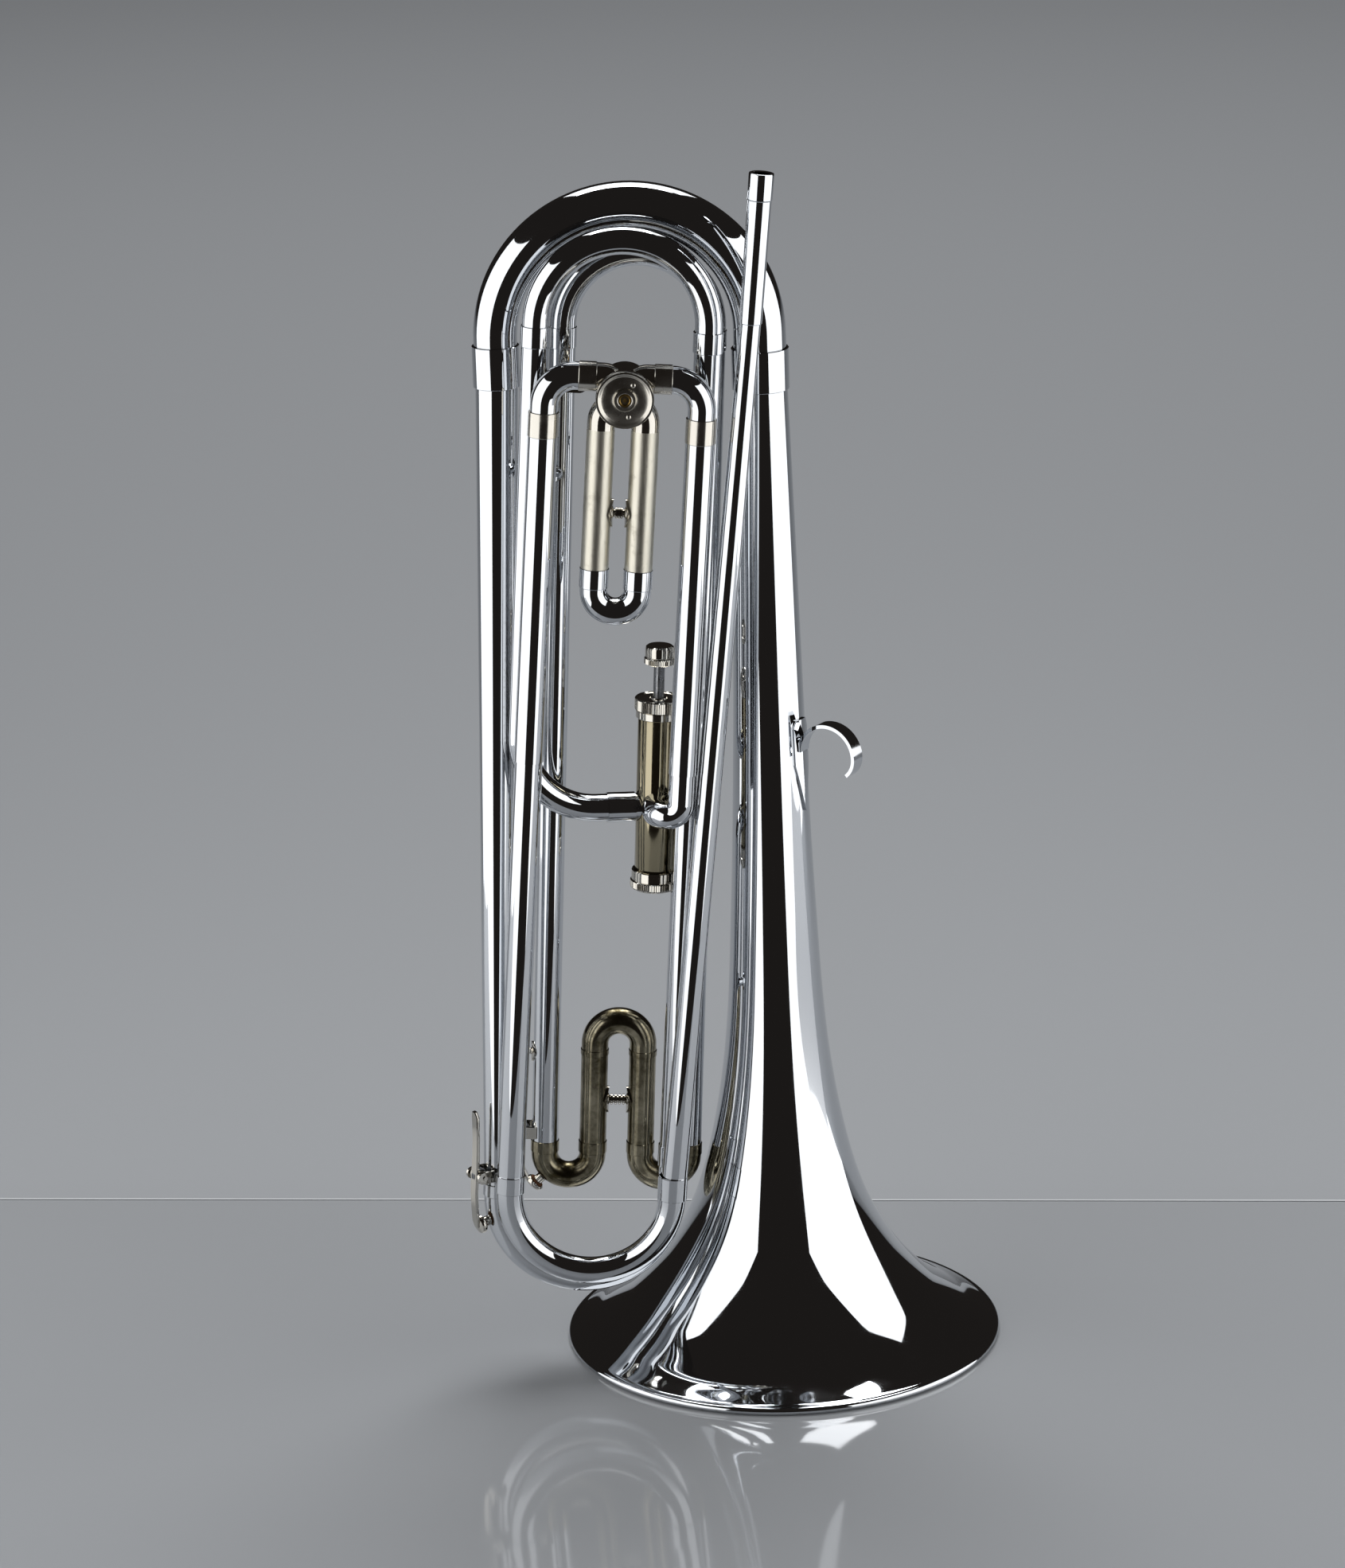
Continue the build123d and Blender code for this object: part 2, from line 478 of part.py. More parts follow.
with BuildPart() as piston:
    disc(level(PISTON_LOW), PISTON_DIA / 2, PISTON_HIGH - PISTON_LOW)
    disc(level(PISTON_LOW), PISTON_DIA / 2 - 1.6, 12.0, mode=Mode.SUBTRACT)
    run([outlet_mouth, at(piston_sheet, PISTON_ACROSS, OUTLET_ALONG)], 10.5, mode=Mode.SUBTRACT)
    run([outlet_mouth, outlet_mouth - outlet_way * 5], 10.5, mode=Mode.SUBTRACT)
    run([outlet_mouth, outlet_mouth + outlet_way * 6], 10.5, mode=Mode.SUBTRACT)
    run([(inlet_x, PISTON_DEPTH, INLET_HEIGHT), (inlet_x, PISTON_DEPTH - 12, INLET_HEIGHT)],
        10.5, mode=Mode.SUBTRACT)
    for mouth, corner in zip(port_mouths, port_corners):
        run([mouth, corner], 9.0, mode=Mode.SUBTRACT)

with BuildPart() as piston_stem:
    disc(level(PISTON_HIGH), 6.5, 2.0)
    disc(level(PISTON_HIGH + 2.0), STEM_DIA / 2, STEM_TOP - PISTON_HIGH - 2.0)

with BuildPart() as stem_felt:
    disc(level(PISTON_HIGH + 2.0), 7.5, 3.0, hole=STEM_DIA / 2)

with BuildPart() as finger_button:
    disc(level(STEM_TOP), BUTTON_DIA / 2, 3.0)
    disc(level(STEM_TOP + 3.0), BUTTON_DIA / 2 - 0.5, BUTTON_TOP - STEM_TOP - 3.0)
    fillet(edges().filter_by(GeomType.CIRCLE).sort_by(Axis.Z)[-1:], 1.6)

with BuildPart() as piston_spring:
    with BuildLine(level(CASING_LOW + 0.8)) as coil:
        Helix(pitch=4.2, height=PISTON_LOW + 9.5 - CASING_LOW - 0.8, radius=4.5)
    sweep_tube(coil.line, 0.9, 0, Mode.ADD)

with BuildPart() as port_ferrules:
    run([outlet_mouth + outlet_way * 5.5, outlet_mouth + outlet_way * 19], FERRULE, TUBE)
    for mouth, corner in zip(port_mouths, port_corners):
        way = (corner - mouth).normalized()
        run([mouth + way * 5.2, mouth + way * 10.5], FERRULE, TUBE)

# ---- finger hook ----
hook_away = Vector(1, 0, 0).rotate(Axis.Z, HOOK_AZIMUTH)
hook_plane = Plane(origin=(0, 0, 0), x_dir=hook_away, z_dir=hook_away.cross(Vector(0, 0, 1)))
plate_face = Plane(origin=hook_away * 10, x_dir=Vector(0, 0, 1).cross(hook_away), z_dir=hook_away)
with BuildPart() as finger_hook:
    with BuildSketch(Plane.XZ):
        bell_strip(bell_curve(1.3), BELL_OUTLINE)
    revolve(axis=Axis.Z)
    with BuildSketch(plate_face):
        with BuildLine():
            Polyline((-6, 318), (-4, 322), (4, 322), (6, 318), (6, 300), (0, 276), (-6, 300), close=True)
        make_face()
    extrude(amount=30, mode=Mode.INTERSECT)
    with BuildSketch(hook_plane):
        with BuildLine() as strip_line:
            curl = ThreePointArc((19.0, 306.5), (33.5, 321.2), (49.0, 306.5))
            TangentArc(curl @ 1, (45.0, 298.0), tangent=curl % 1)
        trace(line_width=1.7)
    extrude(amount=4.0, both=True)

# ---- braces ----


def brace(low, low_way, low_dia, high, high_way, high_dia, rod=4.6, foot=9.0):
    """A rod between two tubes with a round foot on each, coped to both tubes."""
    way = (high - low).normalized()
    run([low, high], rod)
    run([low, low + way * (low_dia / 2 + 1.4)], foot)
    run([high, high - way * (high_dia / 2 + 1.4)], foot)
    run([low - low_way * 12, low + low_way * 12], low_dia, mode=Mode.SUBTRACT)
    run([high - high_way * 12, high + high_way * 12], high_dia, mode=Mode.SUBTRACT)


with BuildPart() as slide_braces:
    for plane, left, right, along in (
            (front, ROTOR_ACROSS - ROTOR_SLIDE_HALF, ROTOR_ACROSS + ROTOR_SLIDE_HALF, 428.0),
            (back, LOOP_SLIDE_LEFT, LOOP_SLIDE_RIGHT, 120.4)):
        brace(at(plane, left, along), plane.y_dir, TUBE, at(plane, right, along), plane.y_dir, TUBE)

with BuildPart() as tube_braces:
    for across in (TUNING_LEFT, TUNING_RIGHT):
        brace(at(middle, across, 440), middle.y_dir, TUBE,
              at(back, LOOP_LEFT if across == TUNING_LEFT else LOOP_RIGHT, 440), back.y_dir, TUBE)
    brace(at(middle, TUNING_RIGHT, 180), middle.y_dir, TUBE, at(back, LOOP_RIGHT, 180), back.y_dir, TUBE)

# ---- water keys ----


def key_plane(plane, across, along, turn):
    """The plane a water key swings in: local x points away from the tube, local y up along it."""
    away = plane.x_dir.rotate(Axis.Z, 180 + turn)
    return Plane(origin=at(plane, across, along), x_dir=away - plane.y_dir * away.dot(plane.y_dir),
                 z_dir=away.cross(plane.y_dir))


def pivot_plane(swing, offset):
    """The swing plane moved sideways, with its origin on the pivot's line."""
    return Plane(origin=at(swing, KEY_REACH, 0) + swing.z_dir * offset, x_dir=swing.x_dir, z_dir=swing.z_dir)


def key_mount(swing, nipple_foot, nipple_angle):
    """Two ears with their pin on a tube, and the drain nipple below them."""
    for side in (-1, 1):
        with BuildSketch(swing.offset(side * KEY_EAR)) as ear:
            with Locations((KEY_REACH / 2 + 2, 0)):
                SlotOverall(KEY_REACH + 4, 6.0)
        extrude(ear.sketch, amount=0.6, both=True)
    disc(pivot_plane(swing, -KEY_EAR - 1.2), 1.2, 2 * KEY_EAR + 2.4)
    run([at(swing, 0, -20), at(swing, 0, 20)], TUBE + 0.5, mode=Mode.SUBTRACT)
    way = swing.x_dir * cos(radians(nipple_angle)) + swing.y_dir * sin(radians(nipple_angle))
    foot = at(swing, *nipple_foot)
    run([foot + way * 6.5, foot + way * 9.6], 5.0, 2.4)


def key_lever(swing, seat, seat_angle, points):
    """A sprung lever: cup, arm and finger end, with the barrel it turns on."""
    way = swing.x_dir * cos(radians(seat_angle)) + swing.y_dir * sin(radians(seat_angle))
    with BuildSketch(swing) as arm:
        with BuildLine() as spine:
            Polyline(*points)
        trace(spine.edges(), line_width=1.8)
    extrude(arm.sketch, amount=2.6, both=True)
    disc(pivot_plane(swing, -4.0), 3.1, 8.0)
    disc(pivot_plane(swing, -5.0), 1.26, 10.0, mode=Mode.SUBTRACT)
    run([at(swing, *seat) + way * 10.4, at(swing, *seat) + way * 13.0], 9.4)
    run([at(swing, *seat) + way * 10.4, at(swing, *seat) + way * 11.8], 7.4, mode=Mode.SUBTRACT)


branch_swing = key_plane(middle, REAR_BOW_LEFT, 88.7, 35.0)
loop_swing = key_plane(back, LOOP_LEFT, 103.4, 0.0)
branch_seat, branch_seat_angle = (-1.4, -23.5), -14.0
loop_seat, loop_seat_angle = (-3.5, -20.0), -45.0
branch_arm = [(11.0, -26.6), (12.4, -9), (KEY_REACH, 0), (13.4, 12), (16.6, 31), (18.6, 33)]
loop_arm = [(5.4, -29.0), (9.8, -21), (KEY_REACH, 0), (12.4, 12), (15.0, 33), (17.0, 35)]

with BuildPart() as water_key_mounts:
    key_mount(branch_swing, branch_seat, branch_seat_angle)
    key_mount(loop_swing, loop_seat, loop_seat_angle)

with BuildPart() as branch_water_key:
    key_lever(branch_swing, branch_seat, branch_seat_angle, branch_arm)

with BuildPart() as loop_water_key:
    key_lever(loop_swing, loop_seat, loop_seat_angle, loop_arm)

corks = []
for swing, seat, angle in ((branch_swing, branch_seat, branch_seat_angle),
                           (loop_swing, loop_seat, loop_seat_angle)):
    way = swing.x_dir * cos(radians(angle)) + swing.y_dir * sin(radians(angle))
    with BuildPart() as cork:
        run([at(swing, *seat) + way * 9.7, at(swing, *seat) + way * 11.8], 7.4)
    corks.append(cork)
branch_water_key_cork, loop_water_key_cork = corks

pieces = dict(
    bell=bell, bell_rim_wire=bell_rim_wire, top_bow=top_bow, branch_tube=branch_tube,
    branch_ferrules=branch_ferrules, rear_bottom_bow=rear_bottom_bow, rear_bow_ferrules=rear_bow_ferrules,
    outlet_tube=outlet_tube, tuning_right_tube=tuning_right_tube, tuning_leg_ferrules=tuning_leg_ferrules,
    tuning_slide_bow=tuning_slide_bow, tuning_slide_legs=tuning_slide_legs,
    loop_top_bow=loop_top_bow, loop_ferrules=loop_ferrules, loop_left_tube=loop_left_tube,
    loop_right_tube=loop_right_tube, loop_riser_tube=loop_riser_tube, loop_u_bends=loop_u_bends,
    loop_slide_sleeves=loop_slide_sleeves, loop_slide_bow=loop_slide_bow, loop_slide_legs=loop_slide_legs,
    leadpipe=leadpipe, mouthpiece_receiver=mouthpiece_receiver, front_bottom_bow=front_bottom_bow,
    front_ferrules=front_ferrules, front_left_tube=front_left_tube, front_right_tube=front_right_tube,
    front_sleeves=front_sleeves, rotor_elbows=rotor_elbows, rotor_port_ferrules=rotor_port_ferrules,
    piston_inlet_knuckle=piston_inlet_knuckle, rotor_casing=rotor_casing, rotor_front_cap=rotor_front_cap,
    rotor_front_bearing=rotor_front_bearing, rotor_back_plate=rotor_back_plate, rotor=rotor,
    rotor_thumb_lever=rotor_thumb_lever, stop_posts=stop_posts, stop_corks=stop_corks,
    rotor_slide_sleeves=rotor_slide_sleeves, rotor_slide_bow=rotor_slide_bow,
    rotor_slide_legs=rotor_slide_legs, piston_casing=piston_casing,
    piston_top_cap=piston_top_cap, piston_bottom_cap=piston_bottom_cap,
    piston=piston, piston_stem=piston_stem, stem_felt=stem_felt, finger_button=finger_button,
    piston_spring=piston_spring, port_ferrules=port_ferrules, finger_hook=finger_hook,
    slide_braces=slide_braces, tube_braces=tube_braces, water_key_mounts=water_key_mounts,
    branch_water_key=branch_water_key, branch_water_key_cork=branch_water_key_cork,
    loop_water_key=loop_water_key, loop_water_key_cork=loop_water_key_cork)

for name, piece in pieces.items():
    piece.part.label = name
    export_step(piece.part, f"parts/{name}.step")
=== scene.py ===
import json
import math

import bmesh
import bpy
from bpy.props import FloatProperty, IntProperty, PointerProperty, StringProperty
from mathutils import Matrix, Vector


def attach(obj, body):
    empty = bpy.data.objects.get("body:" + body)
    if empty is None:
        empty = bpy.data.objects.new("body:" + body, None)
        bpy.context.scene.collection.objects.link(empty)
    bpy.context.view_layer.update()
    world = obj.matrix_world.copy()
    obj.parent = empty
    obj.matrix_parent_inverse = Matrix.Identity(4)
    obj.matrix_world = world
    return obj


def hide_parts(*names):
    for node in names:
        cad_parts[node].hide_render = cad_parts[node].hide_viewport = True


bl_info = {
    "name": "Marching French Horn Bugle",
    "version": (1, 0, 0),
    "blender": (4, 5, 0),
    "location": "View3D > Sidebar > Horn",
    "description": "Chromed bell, tubing and fittings round a packed frame of the horn",
    "category": "Add Mesh",
}

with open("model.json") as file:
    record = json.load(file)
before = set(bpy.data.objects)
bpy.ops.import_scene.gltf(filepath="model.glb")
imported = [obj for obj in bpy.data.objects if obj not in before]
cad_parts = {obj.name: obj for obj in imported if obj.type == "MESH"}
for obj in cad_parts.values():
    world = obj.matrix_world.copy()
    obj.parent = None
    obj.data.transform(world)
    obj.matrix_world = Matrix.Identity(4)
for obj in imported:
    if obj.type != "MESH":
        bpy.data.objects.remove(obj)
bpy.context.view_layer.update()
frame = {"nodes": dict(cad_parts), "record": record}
MM = 0.001


# ---------------------------------------------------------------- sizes and colours a user would change

class HornSizes(bpy.types.PropertyGroup):
    """Sizes of the tubing and the bell."""

    tube: FloatProperty(name="Tube", description="Outer diameter of the cylindrical tubing",
                        default=13.3 * MM, unit="LENGTH")
    tube_bore: FloatProperty(name="Bore", description="Inner diameter of the tubing", default=12.3 * MM,
                             unit="LENGTH")
    slide_leg: FloatProperty(name="Slide leg", description="Outer diameter of an inner slide leg",
                             default=12.2 * MM, unit="LENGTH")
    slide_leg_bore: FloatProperty(name="Slide leg bore", description="Inner diameter of an inner slide leg",
                                  default=11.3 * MM, unit="LENGTH")
    sleeve: FloatProperty(name="Sleeve", description="Outer diameter of sleeves and small rings",
                          default=14.1 * MM, unit="LENGTH")
    ferrule: FloatProperty(name="Ferrule", description="Outer diameter of a ring over a joint",
                           default=14.6 * MM, unit="LENGTH")
    bell_wall: FloatProperty(name="Bell wall", description="Thickness of the bell's sheet", default=0.6 * MM,
                             unit="LENGTH")
    round_steps: IntProperty(name="Steps round a tube", description="Faces round a tube",
                             default=56, min=16)
    bell_steps: IntProperty(name="Steps round the bell", description="Faces round the bell",
                            default=224, min=32)


class HornColours(bpy.types.PropertyGroup):
    """Colours of the finishes, as sRGB hex values."""

    chrome: StringProperty(name="Chrome", description="Polished chrome plate", default="D3D6DA")
    nickel: StringProperty(name="Nickel", description="Old nickel plate on fittings", default="CECAC1")
    nickel_silver: StringProperty(name="Nickel silver", description="Unplated slide tubing", default="DAD6C8")
    # this brown is real tarnish and also painted shade where surfaces stand close
    tarnish_and_shade: StringProperty(name="Tarnish", description="Brown film on bare nickel silver", default="5E513A")
    casing: StringProperty(name="Casing", description="Piston valve's casing", default="A49B82")
    slide_bends: StringProperty(name="Slide bends", description="Slide bends, wiped clean", default="B5AD96")
    deep_tarnish: StringProperty(name="Deep tarnish", description="Film on the slide bends", default="4C4530")
    brass: StringProperty(name="Brass", description="Bearing and rotor brass", default="9E8049")
    cork: StringProperty(name="Cork", description="Cork of stops and water keys", default="8A5A30")
    felt: StringProperty(name="Felt", description="Felt under the finger button", default="D8D4C8")
    steel: StringProperty(name="Steel", description="Spring and rim wire", default="9A9C9F")
    table: StringProperty(name="Table", description="Glossy table top", default="A9ACB0")
    backdrop: StringProperty(name="Backdrop", description="Paper behind the table", default="A4A7AB")


# ---------------------------------------------------------------- the loops' planes, as in the frame

class Loop:
    """A tube loop's plane: it leans sideways from the bell's axis, and stands at one depth."""

    def __init__(self, lean, depth):
        turn = math.radians(lean)
        self.across = Vector((math.cos(turn), 0, -math.sin(turn)))
        self.along = Vector((math.sin(turn), 0, math.cos(turn)))
        self.origin = Vector((0, depth, 0)) * MM

    def at(self, across, along):
        return self.origin + self.across * across * MM + self.along * along * MM


front = Loop(4.5, -38.0)
middle = Loop(4.0, -23.5)
back = Loop(3.2, 1.0)
piston_sheet = Loop(3.2, -12.7)

# how far across its loop's plane each tube stands, in mm
FRONT_LEFT, FRONT_RIGHT, LEAD_FOOT = -140.5, -66.5, -60.9
ROTOR_SLIDE_LEFT, ROTOR_SLIDE_RIGHT = -113.4, -92.6
TUNING_LEFT, TUNING_RIGHT, BRANCH_FOOT = -141.4, -60.3, -145.8
LOOP_LEFT, LOOP_SLIDE_LEFT, LOOP_SLIDE_RIGHT, LOOP_RIGHT = -122.0, -98.3, -74.6, -50.9
# the rotary valve's centre in the front loop, and the height of its side ports
ROTOR_ACROSS, ROTOR_ALONG, PORT_HEIGHT = -103.0, 485.6, 493.4


# ---------------------------------------------------------------- mesh helpers

def size_mm(name):
    """One of the panel's sizes, in mm."""
    return getattr(bpy.context.scene.horn_sizes, name) / MM


def smooth_piece(bm, name, node_names, body, finish, sharp=35.0):
    """Turn a bmesh into a named piece that rides on a body and wears one finish."""
    bmesh.ops.remove_doubles(bm, verts=bm.verts, dist=1e-6)
    bmesh.ops.recalc_face_normals(bm, faces=bm.faces)
    for face in bm.faces:
        face.smooth = True
    for edge in bm.edges:
        edge.smooth = not edge.is_manifold or edge.calc_face_angle(0.0) < math.radians(sharp)
    mesh = bpy.data.meshes.new(name)
    bm.to_mesh(mesh)
    bm.free()
    mesh.materials.append(material(finish))
    piece = bpy.data.objects.new(name, mesh)
    bpy.context.scene.collection.objects.link(piece)
    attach(piece, body)
    if node_names:
        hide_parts(*node_names)


def ring_at(bm, centre, way, radius, steps):
    """A circle of edges square to a direction."""
    turn = way.normalized().to_track_quat("Z", "Y").to_matrix().to_4x4()
    made = bmesh.ops.create_circle(bm, segments=steps, radius=radius,
                                   matrix=Matrix.Translation(centre) @ turn)
    return list({edge for vert in made["verts"] for edge in vert.link_edges})


def pushed(bm, edges, move, grow=1.0):
    """Extrude a ring of edges by a vector and scale the new ring about its centre."""
    made = bmesh.ops.extrude_edge_only(bm, edges=edges)["geom"]
    verts = [item for item in made if isinstance(item, bmesh.types.BMVert)]
    new = [item for item in made if isinstance(item, bmesh.types.BMEdge)]
    bmesh.ops.translate(bm, verts=verts, vec=move)
    if grow != 1.0:
        scaled(bm, verts, grow)
    return new


def scaled(bm, verts, grow):
    """Scale vertices about their own middle."""
    middle_point = sum((vert.co for vert in verts), Vector()) / len(verts)
    bmesh.ops.scale(bm, verts=verts, vec=(grow, grow, grow), space=Matrix.Translation(-middle_point))


def bent(bm, edges, centre, axis, angle, steps, grow=1.0):
    """Sweep a ring of edges round an axis, scaling it a little at each step where the tube tapers."""
    for _ in range(steps):
        verts = list({vert for edge in edges for vert in edge.verts})
        made = bmesh.ops.spin(bm, geom=verts + edges, cent=centre, axis=axis, angle=angle / steps, steps=1,
                              use_merge=False, use_duplicate=False)["geom_last"]
        edges = [item for item in made if isinstance(item, bmesh.types.BMEdge)]
        if grow != 1.0:
            scaled(bm, [item for item in made if isinstance(item, bmesh.types.BMVert)], grow ** (1 / steps))
    return edges


def skin(bm, points, radius, bend, end_radius=None):
    """Sweep one round skin along straight runs and arcs, and return its first and last rings."""
    steps = bpy.context.scene.horn_sizes.round_steps
    first = ring_at(bm, points[0], points[1] - points[0], radius, steps)
    edges, here = first, points[0]
    for corner, after in zip(points[1:-1], points[2:]):
        way_in = (corner - here).normalized()
        way_out = (after - corner).normalized()
        angle = way_in.angle(way_out)
        cut = bend * math.tan(angle / 2)
        start = corner - way_in * cut
        if (start - here).length > 1e-7:
            edges = pushed(bm, edges, start - here)
        axis = way_in.cross(way_out).normalized()
        centre = start + axis.cross(way_in) * bend
        edges = bent(bm, edges, centre, axis, angle, max(6, round(math.degrees(angle) / 4)))
        here = corner + way_out * cut
    if (points[-1] - here).length > 1e-7:
        edges = pushed(bm, edges, points[-1] - here, (end_radius or radius) / radius)
    return first, edges


def walled(bm, skins):
    """Bridge an outer and an inner skin, each given as its first and last rings, at both ends."""
    for outer, inner in zip(*skins):
        bmesh.ops.bridge_loops(bm, edges=outer + inner)


def tube(bm, points, outer, bore, bend=0.0):
    """A round tube with a wall, sized in mm: an outer and an inner skin, bridged at both ends."""
    walled(bm, [skin(bm, points, size / 2 * MM, bend * MM) for size in (outer, bore)])


def bow(bm, loop, left, right, crown, left_end, right_end, outer, bore):
    """A half-circle bow with straight legs in a loop's plane, sized in mm."""
    reach = (right - left) / 2
    side = 1 if left_end < crown else -1
    axis = loop.across.cross(loop.along) * -side
    rings = []
    for size in (outer, bore):
        start = loop.at(left, left_end)
        first = ring_at(bm, start, loop.along * side, size / 2 * MM, bpy.context.scene.horn_sizes.round_steps)
        edges = pushed(bm, first, loop.at(left, crown) - start)
        edges = bent(bm, edges, loop.at(left + reach, crown), axis, math.pi, 48)
        edges = pushed(bm, edges, loop.at(right, right_end) - loop.at(right, crown))
        rings.append((first, edges))
    walled(bm, rings)


def turned(bm, foot, way, outline, steps):
    """Spin a closed outline of (radius, height) points in mm about a line from foot along way."""
    way = way.normalized()
    side = way.orthogonal().normalized()
    verts = [bm.verts.new(foot + (side * radius + way * height) * MM) for radius, height in outline]
    edges = [bm.edges.new(pair) for pair in zip(verts, verts[1:] + verts[:1])]
    bmesh.ops.spin(bm, geom=verts + edges, cent=foot, axis=way, angle=2 * math.pi, steps=steps,
                   use_merge=True, use_duplicate=False)


def collar(bm, foot, way, length, outer, bore, lip=0.25):
    """A ferrule: a short ring with softened edges, sized in mm."""
    ring = [(bore / 2, 0), (outer / 2 - lip, 0), (outer / 2, lip), (outer / 2, length - lip),
            (outer / 2 - lip, length), (bore / 2, length)]
    turned(bm, foot, way, ring, bpy.context.scene.horn_sizes.round_steps)


# ---------------------------------------------------------------- finishes

def linear(code):
    """An sRGB hex value as a linear colour with alpha."""
    values = [int(code[i:i + 2], 16) / 255 for i in (0, 2, 4)]
    return [v / 12.92 if v <= 0.04045 else ((v + 0.055) / 1.055) ** 2.4 for v in values] + [1.0]


def add(tree, kind, settings=None, links=None):
    """Add one shader node, set its sockets and properties, and link its inputs."""
    node = tree.nodes.new(kind)
    for key, value in (settings or {}).items():
        if isinstance(key, str) and hasattr(node, key):
            setattr(node, key, value)
        else:
            node.inputs[key].default_value = value
    for key, source in (links or {}).items():
        tree.links.new(source, node.inputs[key])
    return node


def blank(name):
    """An empty node material with object coordinates and an output."""
    made = bpy.data.materials.new(name)
    made.use_nodes = True
    made.node_tree.nodes.clear()
    tree = made.node_tree
    place = add(tree, "ShaderNodeTexCoord").outputs["Object"]
    return made, tree, place


def finished(made, settings, links):
    """End a material: a principled shader with these settings and links, joined to the output."""
    shader = add(made.node_tree, "ShaderNodeBsdfPrincipled", settings, links)
    add(made.node_tree, "ShaderNodeOutputMaterial", links={"Surface": shader.outputs[0]})
    return made


def per_mm(size):
    """The scale of a pattern whose features are size millimetres wide, in metre coordinates."""
    return 1000.0 / size


def plated(name, colour, stain_and_shade, roughness, haze, stain_and_shade_amount, wave):
    """Plated metal: a mirror with haze from handling, a brown film where surfaces stand close, part tarnish
    and part painted shade between parts, and a slight wave.
    """
    made, tree, place = blank(name)
    smudge = add(tree, "ShaderNodeTexNoise", {"Scale": per_mm(28), "Detail": 5.0, "Roughness": 0.62},
                 {"Vector": place})
    specks = add(tree, "ShaderNodeTexNoise", {"Scale": per_mm(2.2), "Detail": 3.0}, {"Vector": place})
    rough = add(tree, "ShaderNodeMapRange", {"From Min": 0.42, "From Max": 0.75, "To Min": roughness,
                                             "To Max": roughness + haze}, {"Value": smudge.outputs["Fac"]})
    # painted shade: within 8 mm of other surfaces, ambient occlusion mixes in the brown stain colour, broken
    # up by specks of tarnish
    closeness = add(tree, "ShaderNodeAmbientOcclusion", {"Distance": 8 * MM, "samples": 6})
    shade_and_tarnish_share = add(tree, "ShaderNodeMapRange", {"From Min": 0.35, "From Max": 0.85, "To Min": stain_and_shade_amount,
                                            "To Max": 0.0}, {"Value": closeness.outputs["AO"]})
    patch = add(tree, "ShaderNodeMapRange",
                {"From Min": 0.55, "From Max": 0.8, "To Min": 0.25, "To Max": 1.0},
                {"Value": specks.outputs["Fac"]})
    film = add(tree, "ShaderNodeMath", {"operation": "MULTIPLY"}, {0: shade_and_tarnish_share.outputs[0], 1: patch.outputs[0]})
    tint = add(tree, "ShaderNodeMix", {"data_type": "RGBA", 6: linear(colour), 7: linear(stain_and_shade)},
               {0: film.outputs[0]})
    swell = add(tree, "ShaderNodeTexNoise", {"Scale": per_mm(16), "Detail": 1.0}, {"Vector": place})
    relief = add(tree, "ShaderNodeBump", {"Strength": 1.0, "Distance": wave * MM},
                 {"Height": swell.outputs["Fac"]})
    return finished(made, {"Metallic": 1.0}, {"Base Color": tint.outputs[2], "Roughness": rough.outputs[0],
                                              "Normal": relief.outputs[0]})


def chrome_plate():
    # polished chrome over nickel: a hard blue-white mirror, faint haze where hands hold it
    colours = bpy.context.scene.horn_colours
    return plated("polished_chrome_plate", colours.chrome, colours.tarnish_and_shade, 0.02, 0.05, 0.75, 0.006)


def aged_nickel():
    # nickel plate on valves and fittings: warmer than chrome, dulled by handling, with brown tarnish and
    # painted shade in its corners
    colours = bpy.context.scene.horn_colours
    return plated("aged_nickel_plate", colours.nickel, colours.tarnish_and_shade, 0.06, 0.10, 0.7, 0.012)


def nickel_silver():
    # bare nickel silver slide tubing: drawn and buffed lengthways, satin, with blotches of brown film and
    # brown painted shade where surfaces stand close
    colours = bpy.context.scene.horn_colours
    made, tree, place = blank("satin_nickel_silver")
    blotch = add(tree, "ShaderNodeTexNoise", {"Scale": per_mm(11), "Detail": 8.0, "Roughness": 0.7},
                 {"Vector": place})
    film = add(tree, "ShaderNodeMapRange",
               {"From Min": 0.55, "From Max": 0.75, "To Min": 0.02, "To Max": 0.5},
               {"Value": blotch.outputs["Fac"]})
    # painted shade: within 4 mm of other surfaces, ambient occlusion mixes in the brown colour
    closeness = add(tree, "ShaderNodeAmbientOcclusion", {"Distance": 4 * MM, "samples": 6})
    shade_and_tarnish_share = add(tree, "ShaderNodeMapRange", {"From Min": 0.3, "From Max": 0.9, "To Min": 0.6, "To Max": 0.0},
               {"Value": closeness.outputs["AO"]})
    both = add(tree, "ShaderNodeMath", {"operation": "MAXIMUM"}, {0: film.outputs[0], 1: shade_and_tarnish_share.outputs[0]})
    tint = add(tree, "ShaderNodeMix", {"data_type": "RGBA", 6: linear(colours.nickel_silver),
                                       7: linear(colours.tarnish_and_shade)}, {0: both.outputs[0]})
    # draw lines run up the tubes: 0.25 mm apart across, 12 mm long
    stretch = add(tree, "ShaderNodeMapping", {"Scale": (per_mm(0.25), per_mm(0.25), per_mm(12))},
                  {"Vector": place})
    lines = add(tree, "ShaderNodeTexNoise", {"Scale": 1.0, "Detail": 2.0}, {"Vector": stretch.outputs[0]})
    rough = add(tree, "ShaderNodeMapRange",
                {"From Min": 0.3, "From Max": 0.7, "To Min": 0.3, "To Max": 0.44},
                {"Value": lines.outputs["Fac"]})
    relief = add(tree, "ShaderNodeBump", {"Strength": 0.35, "Distance": 0.03 * MM},
                 {"Height": lines.outputs["Fac"]})
    return finished(made, {"Metallic": 1.0}, {"Base Color": tint.outputs[2], "Roughness": rough.outputs[0],
                                              "Normal": relief.outputs[0]})


